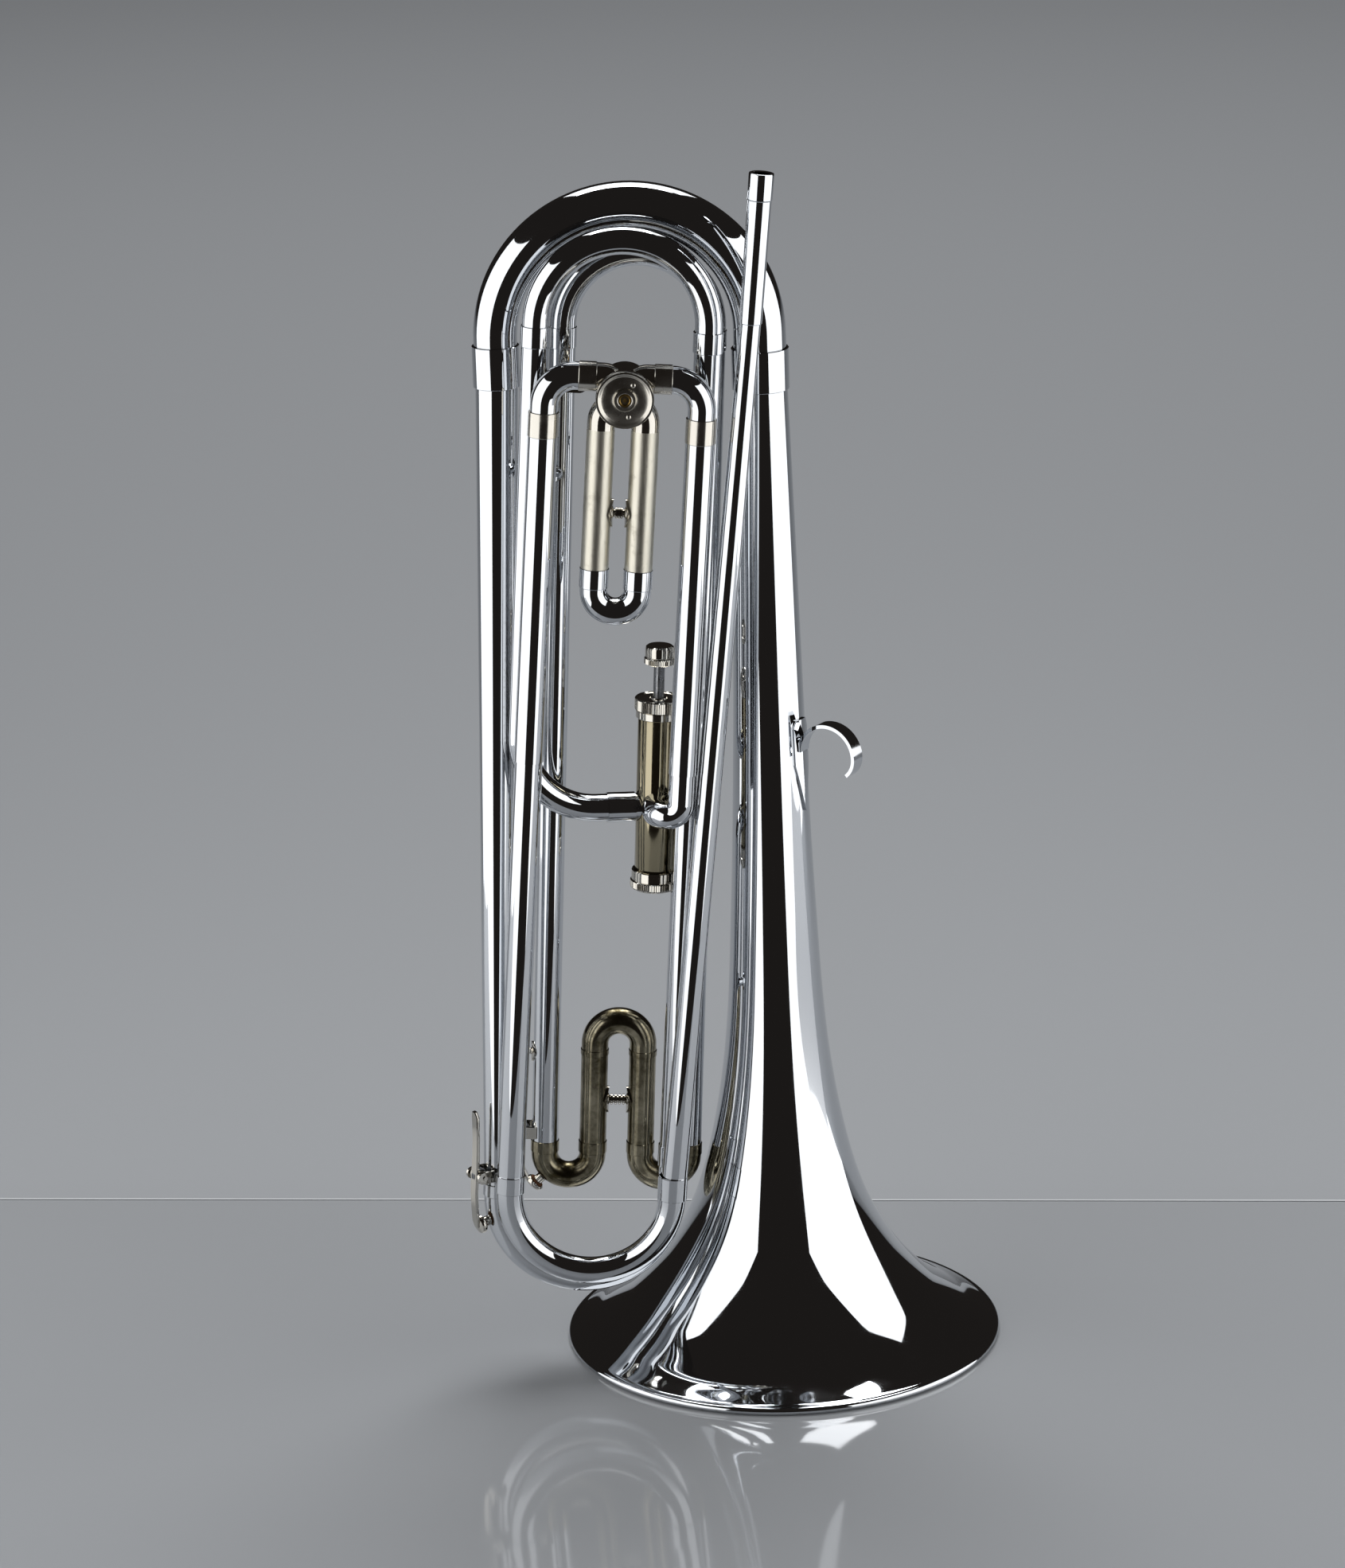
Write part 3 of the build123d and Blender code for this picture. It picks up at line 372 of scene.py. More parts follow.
def bare_metal(name, colour, roughness):
    """Unplated metal with fine turning marks and dull patches."""
    made, tree, place = blank(name)
    marks = add(tree, "ShaderNodeTexNoise", {"Scale": per_mm(0.6), "Detail": 4.0}, {"Vector": place})
    dull = add(tree, "ShaderNodeTexNoise", {"Scale": per_mm(4), "Detail": 3.0}, {"Vector": place})
    rough = add(tree, "ShaderNodeMapRange", {"From Min": 0.35, "From Max": 0.7, "To Min": roughness,
                                             "To Max": roughness + 0.2}, {"Value": dull.outputs["Fac"]})
    shade = add(tree, "ShaderNodeMapRange",
                {"From Min": 0.3, "From Max": 0.75, "To Min": 1.0, "To Max": 0.55},
                {"Value": marks.outputs["Fac"]})
    tint = add(tree, "ShaderNodeMix",
               {"data_type": "RGBA", "blend_type": "MULTIPLY", 0: 1.0, 6: linear(colour)},
               {7: shade.outputs[0]})
    return finished(made, {"Metallic": 1.0}, {"Base Color": tint.outputs[2], "Roughness": rough.outputs[0]})


def turned_brass():
    # bearing brass: yellow, turned, oiled and a little dull
    return bare_metal("turned_brass", bpy.context.scene.horn_colours.brass, 0.22)


def spring_steel():
    # drawn wire: grey with a thin oil film
    return bare_metal("drawn_spring_steel", bpy.context.scene.horn_colours.steel, 0.25)


def granular(name, colour, dark, grain, roughness, depth, sheen):
    """A soft matte stuff made of grains or fibres."""
    made, tree, place = blank(name)
    cells = add(tree, "ShaderNodeTexVoronoi", {"Scale": per_mm(grain)}, {"Vector": place})
    noise = add(tree, "ShaderNodeTexNoise", {"Scale": per_mm(grain / 2), "Detail": 4.0}, {"Vector": place})
    tint = add(tree, "ShaderNodeMix", {"data_type": "RGBA", 6: linear(colour), 7: linear(dark)},
               {0: cells.outputs["Distance"]})
    relief = add(tree, "ShaderNodeBump", {"Strength": 0.8, "Distance": depth * MM},
                 {"Height": noise.outputs["Fac"]})
    return finished(made, {"Roughness": roughness, "Sheen Weight": sheen},
                    {"Base Color": tint.outputs[2], "Normal": relief.outputs[0]})


def natural_cork():
    # pressed natural cork: brown grains about 0.8 mm across with darker gaps
    return granular("natural_cork", bpy.context.scene.horn_colours.cork, "3E2411", 0.8, 0.85, 0.12, 0.0)


def wool_felt():
    # white wool felt washer: short tangled fibres with a soft sheen
    return granular("wool_felt", bpy.context.scene.horn_colours.felt, "B5B0A2", 0.35, 0.95, 0.1, 0.4)


def painted_socket_shade():
    # the rotor's spindle end and its square socket: brass painted dark brown as the shade in the socket
    return bare_metal("painted_socket_shade_brass", "6B5F4A", 0.3)


def mottled_nickel():
    # the rotary valve's cap: nickel plate worn thin, cloudy, and brown in patches of tarnish and painted
    # shade where surfaces stand close
    colours = bpy.context.scene.horn_colours
    return plated("mottled_nickel_plate", colours.nickel, colours.tarnish_and_shade, 0.16, 0.22, 0.95, 0.03)


def tarnished_nickel_silver():
    # unplated slide bends: bright where a hand wipes them, under a deep olive-brown film elsewhere
    colours = bpy.context.scene.horn_colours
    made, tree, place = blank("tarnished_nickel_silver")
    cloud = add(tree, "ShaderNodeTexNoise", {"Scale": per_mm(24), "Detail": 7.0, "Roughness": 0.66},
                {"Vector": place})
    film = add(tree, "ShaderNodeMapRange",
               {"From Min": 0.38, "From Max": 0.62, "To Min": 0.15, "To Max": 1.0},
               {"Value": cloud.outputs["Fac"]})
    specks = add(tree, "ShaderNodeTexNoise", {"Scale": per_mm(1.6), "Detail": 3.0}, {"Vector": place})
    grit = add(tree, "ShaderNodeMapRange",
               {"From Min": 0.3, "From Max": 0.7, "To Min": 0.8, "To Max": 1.15},
               {"Value": specks.outputs["Fac"]})
    depth = add(tree, "ShaderNodeMath", {"operation": "MULTIPLY", "use_clamp": True},
                {0: film.outputs[0], 1: grit.outputs[0]})
    tint = add(tree, "ShaderNodeMix", {"data_type": "RGBA", 6: linear(colours.slide_bends),
                                       7: linear(colours.deep_tarnish)}, {0: depth.outputs[0]})
    rough = add(tree, "ShaderNodeMapRange",
                {"From Min": 0.0, "From Max": 1.0, "To Min": 0.09, "To Max": 0.26},
                {"Value": depth.outputs[0]})
    return finished(made, {"Metallic": 1.0}, {"Base Color": tint.outputs[2], "Roughness": rough.outputs[0]})


def casing_nickel():
    # the piston valve's casing: polished nickel silver under a clear brown-gold film
    colours = bpy.context.scene.horn_colours
    return plated("polished_nickel_silver", colours.casing, colours.tarnish_and_shade, 0.07, 0.08, 0.9, 0.004)


FINISHES = {
    # the material slots of the frame
    "chrome": chrome_plate, "nickel": aged_nickel, "nickel-silver": nickel_silver, "brass": turned_brass,
    "cork": natural_cork, "felt": wool_felt, "steel": spring_steel,
    # wear on single pieces, and painted shade on the spindle socket
    "casing": casing_nickel, "mottled": mottled_nickel, "tarnished": tarnished_nickel_silver,
    "dark": painted_socket_shade,
}
made_finishes = {}


def material(finish):
    """The one material of a finish, made the first time it is asked for."""
    if finish not in made_finishes:
        made_finishes[finish] = FINISHES[finish]()
    return made_finishes[finish]


# ---------------------------------------------------------------- operators: one for each group of pieces

class HORN_OT_cad_finishes(bpy.types.Operator):
    """Give every part of the frame the finish of its material slot"""

    bl_idname = "horn.cad_finishes"
    bl_label = "Finish the frame's parts"

    def execute(self, context):
        for part in frame["record"]["subparts"]:
            mesh = frame["nodes"][part["node"]].data
            mesh.materials.clear()
            mesh.materials.append(material(part["material_slot"]))
        return {"FINISHED"}


class HORN_OT_bell(bpy.types.Operator):
    """Spin the bell from its outline, with a wall and a rim rolled over a wire"""

    bl_idname = "horn.bell"
    bl_label = "Bell"

    outline = [(12.9, 484), (15.3, 400), (18.0, 300), (20.9, 225), (24.9, 160), (31.8, 113),
               (42.0, 75), (56.5, 46.5), (75.0, 24.0), (92.0, 10.8), (105.4, 3.8)]
    bead_radius, bead_across, bead_height = 2.0, 106.0, 1.85
    rim_flat = 0.1              # how much of the rolled bead is worn flat underneath

    def curve(self, per_span=9):
        """Points on a smooth curve through the outline."""
        knots = [Vector((radius, height)) for radius, height in self.outline]
        knots = [knots[0] * 2 - knots[1]] + knots + [knots[-1] * 2 - knots[-2]]
        points = []
        for before, start, end, after in zip(knots, knots[1:], knots[2:], knots[3:]):
            reach = (end - start).length
            lead = (end - before).normalized() * reach / 3
            trail = (after - start).normalized() * reach / 3
            for step in range(per_span):
                t = step / per_span
                s = 1 - t
                points.append((start * s ** 3 + (start + lead) * 3 * s * s * t
                               + (end - trail) * 3 * s * t * t + end * t ** 3))
        return points + [knots[-2]]

    def execute(self, context):
        outer = self.curve()
        bead = Vector((self.bead_across, self.bead_height))
        rolled = []
        for step in range(15):
            angle = math.radians(105 - step * 19)
            rolled.append(bead + Vector((math.cos(angle), math.sin(angle))) * self.bead_radius)
        lowest = min(point.y for point in rolled)
        rolled = [Vector((point.x, max(point.y, lowest + self.rim_flat))) for point in rolled]
        inner = []
        for before, after in zip(outer, outer[1:]):
            way = (after - before).normalized()
            inner.append((before + after) / 2 + Vector((way.y, -way.x)) * size_mm("bell_wall"))
        bm = bmesh.new()
        profile = [(p.x, p.y) for p in outer[:-1] + rolled + inner[::-1]]
        turned(bm, Vector(), Vector((0, 0, 1)), profile, context.scene.horn_sizes.bell_steps)
        smooth_piece(bm, "bell_shell", ["bell"], "horn", "chrome", sharp=60)
        return {"FINISHED"}


class HORN_OT_branch(bpy.types.Operator):
    """Sweep the tapered bow at the top and the branch tube below it, with their ferrules"""

    bl_idname = "horn.branch"
    bl_label = "Bell branch"

    small, large, wall, ring_length = 20.4, 25.8, 0.7, 20
    left, crown, left_end, right_end, depth = -125.2, 512.0, 490.0, 484.0, -4.0

    def arch(self, bm, shrink):
        """One skin of the top bow, growing evenly from the branch to the bell."""
        across = Vector((-self.left, -self.depth, 0)).normalized()
        reach = -self.left
        foot = -across * reach * MM + Vector((0, 0, self.left_end)) * MM
        rise = Vector((0, 0, self.crown - self.left_end)) * MM
        steps, total = bpy.context.scene.horn_sizes.round_steps, self.large / self.small
        first = ring_at(bm, foot, rise, (self.small / 2 - shrink) * MM, steps)
        edges = pushed(bm, first, rise, total ** 0.1)
        centre = -across * reach / 2 * MM + Vector((0, 0, self.crown)) * MM
        axis = Vector((0, 0, 1)).cross(across)
        edges = bent(bm, edges, centre, axis, math.pi, 60, total ** 0.8)
        drop = Vector((0, 0, self.right_end - self.crown)) * MM
        return first, pushed(bm, edges, drop, total ** 0.1)

    def execute(self, context):
        bm = bmesh.new()
        rings = [self.arch(bm, shrink) for shrink in (0, self.wall)]
        walled(bm, rings)
        smooth_piece(bm, "bell_bow", ["top_bow"], "horn", "chrome")

        foot, top = middle.at(BRANCH_FOOT, 77.0), Vector((self.left, self.depth, self.left_end)) * MM
        bm = bmesh.new()
        sizes = context.scene.horn_sizes
        skins = [skin(bm, [foot, top], sizes.tube / 2, 0, self.small / 2 * MM),
                 skin(bm, [foot, top], sizes.tube_bore / 2, 0, (self.small / 2 - self.wall) * MM)]
        walled(bm, skins)
        smooth_piece(bm, "bell_branch", ["branch_tube"], "horn", "chrome")

        bm = bmesh.new()
        up = Vector((0, 0, 1))
        collar(bm, top, up, self.ring_length, self.small + 2.2, self.small + 0.9)
        collar(bm, Vector((0, 0, self.right_end)) * MM, up, self.ring_length, self.large + 1.8, self.large)
        smooth_piece(bm, "bell_branch_ferrules", ["branch_ferrules"], "horn", "chrome")
        return {"FINISHED"}


class HORN_OT_tubes(bpy.types.Operator):
    """Sweep the cylindrical tubing: bows, legs, sleeves and inner slide legs"""

    bl_idname = "horn.tubes"
    bl_label = "Tubing"

    # outer and inner size of each kind of pipe
    kinds = {"plain": ("tube", "tube_bore"), "inner": ("slide_leg", "slide_leg_bore"),
             "sleeve": ("sleeve", "tube")}
    # name, frame node, body, slot, kind, loop, and the (across, low, high) of each straight leg
    legs = [
        ("tuning_tube", "tuning_right_tube", "horn", "chrome", "plain", middle,
         [(TUNING_RIGHT, 100.6, 514.5)]),
        ("tuning_inner_legs", "tuning_slide_legs", "tuning_slide", "nickel-silver", "inner", middle,
         [(TUNING_LEFT, 454.5, 516), (TUNING_RIGHT, 454.5, 516)]),
        ("loop_tube", "loop_left_tube", "horn", "chrome", "plain", back, [(LOOP_LEFT, 95.8, 506)]),
        ("loop_sleeves", "loop_slide_sleeves", "horn", "nickel", "plain", back,
         [(LOOP_SLIDE_LEFT, 95.8, 147.3), (LOOP_SLIDE_RIGHT, 95.8, 147.3)]),
        ("loop_inner_legs", "loop_slide_legs", "loop_slide", "nickel-silver", "inner", back,
         [(LOOP_SLIDE_LEFT, 99.8, 150), (LOOP_SLIDE_RIGHT, 99.8, 150)]),
        ("front_tube", "front_left_tube", "horn", "chrome", "plain", front, [(FRONT_LEFT, 86.6, 469.6)]),
        ("front_inner_tube", "front_right_tube", "horn", "chrome", "plain", front,
         [(FRONT_RIGHT, 301, 469.6)]),
        ("front_outer_sleeves", "front_sleeves", "horn", "chrome", "sleeve", front,
         [(FRONT_LEFT, 304, 463.6), (FRONT_RIGHT, 301, 463.6)]),
        ("rotor_sleeves", "rotor_slide_sleeves", "horn", "nickel-silver", "plain", front,
         [(ROTOR_SLIDE_LEFT, 401, 468.6), (ROTOR_SLIDE_RIGHT, 401, 468.6)]),
        ("rotor_inner_legs", "rotor_slide_legs", "rotor_slide", "nickel-silver", "inner", front,
         [(ROTOR_SLIDE_LEFT, 390.2, 461), (ROTOR_SLIDE_RIGHT, 390.2, 461)]),
    ]
    # name, frame node, body, slot, inner size, loop, and left, right, crown, left end, right end of each bow
    bows = [
        ("rear_bow", "rear_bottom_bow", "horn", "chrome", "tube_bore", middle,
         [(BRANCH_FOOT, TUNING_RIGHT, 76.5, 77, 100.6)]),
        ("tuning_bow", "tuning_slide_bow", "tuning_slide", "chrome", "slide_leg", middle,
         [(TUNING_LEFT, TUNING_RIGHT, 516, 514.5, 514.5)]),
        ("loop_bow", "loop_top_bow", "horn", "chrome", "tube_bore", back,
         [(LOOP_LEFT, LOOP_RIGHT, 512, 506, 506)]),
        ("loop_slide_bend", "loop_slide_bow", "loop_slide", "nickel", "slide_leg", back,
         [(LOOP_SLIDE_LEFT, LOOP_SLIDE_RIGHT, 150, 147.3, 147.3)]),
        ("loop_bends", "loop_u_bends", "horn", "nickel", "tube_bore", back,
         [(LOOP_LEFT, LOOP_SLIDE_LEFT, 91.8, 95.8, 95.8), (LOOP_SLIDE_RIGHT, LOOP_RIGHT, 91.8, 95.8, 95.8)]),
        ("front_bow", "front_bottom_bow", "horn", "chrome", "tube_bore", front,
         [(FRONT_LEFT, LEAD_FOOT, 82.6, 86.6, 86.6)]),
    ]
    finishes = {"nickel": "tarnished"}          # the slide bends wear a deeper film than other nickel
    elbow_bend = 14.5

    def execute(self, context):
        plain, bore, inner = size_mm("tube"), size_mm("tube_bore"), size_mm("slide_leg")
        for name, node, body, slot, kind, loop, spans in self.legs:
            bm = bmesh.new()
            for across, low, high in spans:
                tube(bm, [loop.at(across, low), loop.at(across, high)], *map(size_mm, self.kinds[kind]))
            smooth_piece(bm, name, [node], body, self.finishes.get(slot, slot))
        for name, node, body, slot, inner_size, loop, spans in self.bows:
            bm = bmesh.new()
            for span in spans:
                bow(bm, loop, *span, plain, size_mm(inner_size))
            smooth_piece(bm, name, [node], body, self.finishes.get(slot, slot))
        bm = bmesh.new()
        bow(bm, front, ROTOR_SLIDE_LEFT, ROTOR_SLIDE_RIGHT, 390.2, 401, 401, plain, inner)
        for across in (ROTOR_SLIDE_LEFT, ROTOR_SLIDE_RIGHT):
            collar(bm, front.at(across, 391.5), front.along, 9.5, 14, 12.9)
        smooth_piece(bm, "rotor_slide_bend", ["rotor_slide_bow"], "rotor_slide", "chrome")
        bm = bmesh.new()
        for side, leg in ((-1, FRONT_LEFT), (1, FRONT_RIGHT)):
            port, corner = front.at(ROTOR_ACROSS + side * 16.5, PORT_HEIGHT), front.at(leg, PORT_HEIGHT)
            tube(bm, [port, corner, front.at(leg, 469.6)], plain, bore, self.elbow_bend)
        smooth_piece(bm, "rotor_side_elbows", ["rotor_elbows"], "horn", "chrome")
        return {"FINISHED"}


class HORN_OT_ferrules(bpy.types.Operator):
    """Turn the rings over the joints, with softened edges"""

    bl_idname = "horn.ferrules"
    bl_label = "Ferrules"

    # name, frame nodes, slot, finish, loop, outer size, and the (across, low, high) of each ring
    rings = [
        ("rear_rings", ["rear_bow_ferrules"], "chrome", "chrome", middle, "ferrule",
         [(BRANCH_FOOT, 76.5, 83), (TUNING_RIGHT, 95, 106)]),
        ("tuning_rings", ["tuning_leg_ferrules"], "chrome", "chrome", middle, "ferrule",
         [(TUNING_LEFT, 504.5, 514.5), (TUNING_RIGHT, 504.5, 514.5)]),
        ("front_rings", ["front_ferrules"], "chrome", "chrome", front, "ferrule",
         [(FRONT_LEFT, 82.6, 91.6), (LEAD_FOOT, 82.6, 94.6)]),
        ("loop_rings", ["loop_ferrules"], "nickel", "tarnished", back, "sleeve",
         [(across, 92.8, 98.8) for across in (LOOP_LEFT, LOOP_SLIDE_LEFT, LOOP_SLIDE_RIGHT, LOOP_RIGHT)]),
        ("loop_top_rings", [], "nickel", "chrome", back, "sleeve",
         [(LOOP_LEFT, 501, 511), (LOOP_RIGHT, 501, 511)]),
        ("port_rings", ["rotor_port_ferrules"], "chrome", "mottled", front, "ferrule",
         [(FRONT_LEFT, 463.6, 475.6), (FRONT_RIGHT, 463.6, 475.6)]),
    ]

    def execute(self, context):
        bore = size_mm("tube")
        for name, nodes, slot, finish, loop, outer, spans in self.rings:
            bm = bmesh.new()
            for across, low, high in spans:
                collar(bm, loop.at(across, low), loop.along, high - low, size_mm(outer), bore)
            if name == "port_rings":
                for side in (-1, 1):
                    start = front.at(ROTOR_ACROSS + side * 13.5, PORT_HEIGHT)
                    collar(bm, start, front.across * side, 8.5, 14.2, bore)
            smooth_piece(bm, name, nodes, "horn", finish)
        bm = bmesh.new()
        for across in (LOOP_SLIDE_LEFT, LOOP_SLIDE_RIGHT):
            collar(bm, back.at(across, 144.3), back.along, 3.0, 14.0, bore)
        smooth_piece(bm, "loop_slide_rings", [], "horn", "tarnished")
        return {"FINISHED"}


class HORN_OT_leadpipe(bpy.types.Operator):
    """Turn the leadpipe and the receiver that takes the mouthpiece"""

    bl_idname = "horn.leadpipe"
    bl_label = "Leadpipe"

    foot, joint, top = (-60.4, 87.6), (-4.8, 525.0), (2.0, 595.0)
    wall = 0.7
    # radius, and the share of the way up
    taper = [(6.4, 0), (6.3, 0.1), (5.9, 0.2), (5.8, 0.34), (5.78, 0.6), (5.5, 0.75), (4.85, 1.0)]

    def execute(self, context):
        steps = context.scene.horn_sizes.round_steps
        foot = front.at(*self.foot)
        joint, top = (Vector((x, 0, z)) * MM + front.origin for x, z in (self.joint, self.top))
        length, reach = (joint - foot).length / MM, (top - joint).length / MM
        bm = bmesh.new()
        outline = [(radius, share * length) for radius, share in self.taper]
        outline += [(radius - self.wall, height) for radius, height in outline[::-1]]
        turned(bm, foot, joint - foot, outline, steps)
        smooth_piece(bm, "lead_pipe", ["leadpipe"], "horn", "chrome")

        bm = bmesh.new()
        outline = [(5.0, -1.0), (5.3, -0.7), (5.35, 0.4), (5.65, reach - 13.4), (5.65, reach - 13.0),
                   (5.95, reach - 12.6), (6.0, reach - 12.2), (6.0, reach - 0.7), (5.8, reach - 0.15),
                   (5.4, reach), (4.7, reach - 0.1), (4.4, reach - 0.5), (3.9, reach - 25), (3.7, -1.0)]
        turned(bm, joint, top - joint, outline, steps)
        smooth_piece(bm, "receiver", ["mouthpiece_receiver"], "horn", "chrome")
        return {"FINISHED"}


def knurled(bm, foot, way, outline, teeth, depth=0.28):
    """A turned piece whose widest band is cut with teeth: every other line of points stands in."""
    rim = max(radius for radius, _ in outline) * MM
    turned(bm, foot, way, outline, teeth * 2)
    bmesh.ops.remove_doubles(bm, verts=bm.verts, dist=1e-6)
    way = way.normalized()
    first = way.orthogonal().normalized()
    second = way.cross(first)
    for vert in bm.verts:
        away = vert.co - foot - way * way.dot(vert.co - foot)
        if away.length > rim - 1e-5:
            step = round(math.atan2(away.dot(second), away.dot(first)) * teeth / math.pi)
            if step % 2:
                vert.co -= away.normalized() * depth * MM


class HORN_OT_piston(bpy.types.Operator):
    """Turn the piston valve's casing, its knurled caps and its finger button"""

    bl_idname = "horn.piston"
    bl_label = "Piston fittings"

    across = -71.8
    # outlines: radius, and height along the casing's line
    casing = [(8.35, 242), (9.4, 242), (9.6, 242.3), (9.6, 324.7), (9.4, 325), (8.35, 325)]
    top_cap = [(9.65, 323), (10.5, 323), (10.8, 323.3), (10.8, 326.4), (10.5, 326.7), (11.5, 327.2),
               (11.5, 332.2), (11.0, 332.7), (10.2, 332.9), (9.6, 332.4), (4.2, 332.4), (3.9, 333.0),
               (3.2, 333.0), (3.05, 332.7), (3.05, 329), (9.65, 329)]
    bottom_cap = [(0, 235.2), (6.5, 235.5), (10.0, 236.0), (11.0, 236.7), (11.5, 237.4), (11.5, 240.4),
                  (10.7, 240.9), (10.9, 241.2), (10.9, 245.6), (10.6, 246), (9.65, 246), (9.65, 242),
                  (0, 242)]
    button = [(0, 349.7), (7.0, 349.7), (7.5, 350.0), (7.5, 352.4), (7.0, 352.7), (6.8, 353.1), (7.05, 353.6),
              (7.05, 357.2), (6.7, 358.2), (6.0, 358.7), (5.0, 358.8), (0, 358.5)]

    def execute(self, context):
        foot, way = piston_sheet.at(self.across, 0), piston_sheet.along
        bm = bmesh.new()
        turned(bm, foot, way, self.casing, 96)
        smooth_piece(bm, "casing", ["piston_casing"], "horn", "casing")
        for name, node, body, outline, teeth in (
                ("top_cap", "piston_top_cap", "horn", self.top_cap, 72),
                ("bottom_cap", "piston_bottom_cap", "horn", self.bottom_cap, 72),
                ("button", "finger_button", "piston", self.button, 56)):
            bm = bmesh.new()
            knurled(bm, foot, way, outline, teeth)
            smooth_piece(bm, name, [node], body, "nickel", sharp=24)
        return {"FINISHED"}


class HORN_OT_rotor(bpy.types.Operator):
    """Turn the rotary valve's dished cap with its bearing, and cut the socket in the spindle"""

    bl_idname = "horn.rotor"
    bl_label = "Rotary valve cap"

    face, dish = -47.0, 3.4     # depth of the casing's front, and height of the cap's dished floor on it
    # outlines: radius, and height in front of the casing
    cap = [(12.66, 0), (13.4, 0), (13.7, 0.3), (13.7, 4.3), (13.4, 4.9), (12.9, 5.0), (12.3, 4.8),
           (11.7, 4.1), (11.0, 3.7), (6.4, 3.4), (5.7, 3.6), (5.3, 4.5), (5.0, 4.9), (3.6, 5.0), (3.25, 4.8),
           (3.25, 2.2), (12.66, 2.2)]
    bearing = [(2.08, 2.4), (3.2, 2.4), (3.2, 4.7), (3.0, 4.95), (2.5, 4.95), (2.08, 4.6)]
    screws = [(4.1, 6.8), (1.5, -8.3)]      # right of and above the cap's centre
    screw = [(0, 0), (1.15, 0), (1.15, 0.35), (0.85, 0.62), (0.4, 0.72), (0, 0.74)]

    def execute(self, context):
        centre = front.at(ROTOR_ACROSS, ROTOR_ALONG)
        way = Vector((0, -1, 0))
        foot = Vector((centre.x, self.face * MM, centre.z))
        bm = bmesh.new()
        turned(bm, foot, way, self.cap, 96)
        for right, up in self.screws:
            spot = foot + Vector((right, 0, up)) * MM + way * self.dish * MM
            turned(bm, spot, way, self.screw, 24)
        smooth_piece(bm, "valve_cap", ["rotor_front_cap"], "horn", "mottled")
        bm = bmesh.new()
        turned(bm, foot, way, self.bearing, 48)
        smooth_piece(bm, "valve_bearing", ["rotor_front_bearing"], "horn", "brass")
        bm = bmesh.new()
        outer = ring_at(bm, foot + way * 4.45 * MM, way, 1.95 * MM, 48)
        base = pushed(bm, outer, way * -0.6 * MM)
        socket = ring_at(bm, foot + way * 4.5 * MM, way, 1.1 * MM, 4)
        bmesh.ops.bridge_loops(bm, edges=outer + socket)
        floor = pushed(bm, socket, way * -1.6 * MM)
        bmesh.ops.contextual_create(bm, geom=floor)
        bmesh.ops.contextual_create(bm, geom=base)
        # painted shade: the spindle end and its socket wear a dark brown that stands for the shade in the
        # socket
        smooth_piece(bm, "spindle_socket", [], "rotor", "dark", sharp=30)
        return {"FINISHED"}


def flange(bm, loop, across, along, side, half_height=6.8, half_width=5.0, thick=1.0, tube_radius=6.65):
    """A pointed plate wrapped round a tube, facing across by side."""
    made = bmesh.ops.create_grid(bm, x_segments=10, y_segments=16, size=1.0)["verts"]
    faces = {face for vert in made for face in vert.link_faces}
    shell = bmesh.ops.solidify(bm, geom=list(faces), thickness=-0.2)["geom"]
    everything = set(made) | {item for item in shell if isinstance(item, bmesh.types.BMVert)}
    for vert in everything:
        raised = thick if abs(vert.co.z) > 0.1 else -0.3
        width = half_width * (1 - abs(vert.co.y) ** 1.6 * 0.85)
        angle = vert.co.x * width / tube_radius
        reach = tube_radius + raised
        away = loop.across * side * math.cos(angle) + Vector((0, 1, 0)) * math.sin(angle)
        vert.co = loop.at(across, along + vert.co.y * half_height) + away * reach * MM


class HORN_OT_braces(bpy.types.Operator):
    """Make the slide braces: a turned rod with beads between two flanges that hug the tubes"""

    bl_idname = "horn.braces"
    bl_label = "Slide braces"

    def rod(self, bm, start, end):
        """A rod with turned beads: three on a short rod, four on a long one."""
        length = (end - start).length / MM
        outline = [(0, 0), (3.4, 0), (3.2, 0.4), (2.1, 0.9), (1.8, 1.3)]
        spots = (0.32, 0.5, 0.68) if length < 8 else (0.2, 0.4, 0.6, 0.8)
        for share in spots:
            spot = length * share
            outline += [(1.8, spot - 0.8), (2.8, spot - 0.4), (2.8, spot + 0.4), (1.8, spot + 0.8)]
        outline += [(1.8, length - 1.3), (2.1, length - 0.9), (3.2, length - 0.4), (3.4, length), (0, length)]
        turned(bm, start, end - start, outline, 32)

    def execute(self, context):
        bm = bmesh.new()
        for loop, left, right, along in ((front, ROTOR_SLIDE_LEFT, ROTOR_SLIDE_RIGHT, 428.0),
                                         (back, LOOP_SLIDE_LEFT, LOOP_SLIDE_RIGHT, 120.4)):
            flange(bm, loop, left, along, 1)
            flange(bm, loop, right, along, -1)
            self.rod(bm, loop.at(left + 6.9, along), loop.at(right - 6.9, along))
        smooth_piece(bm, "slide_brace_rods", ["slide_braces"], "horn", "nickel", sharp=45)
        return {"FINISHED"}


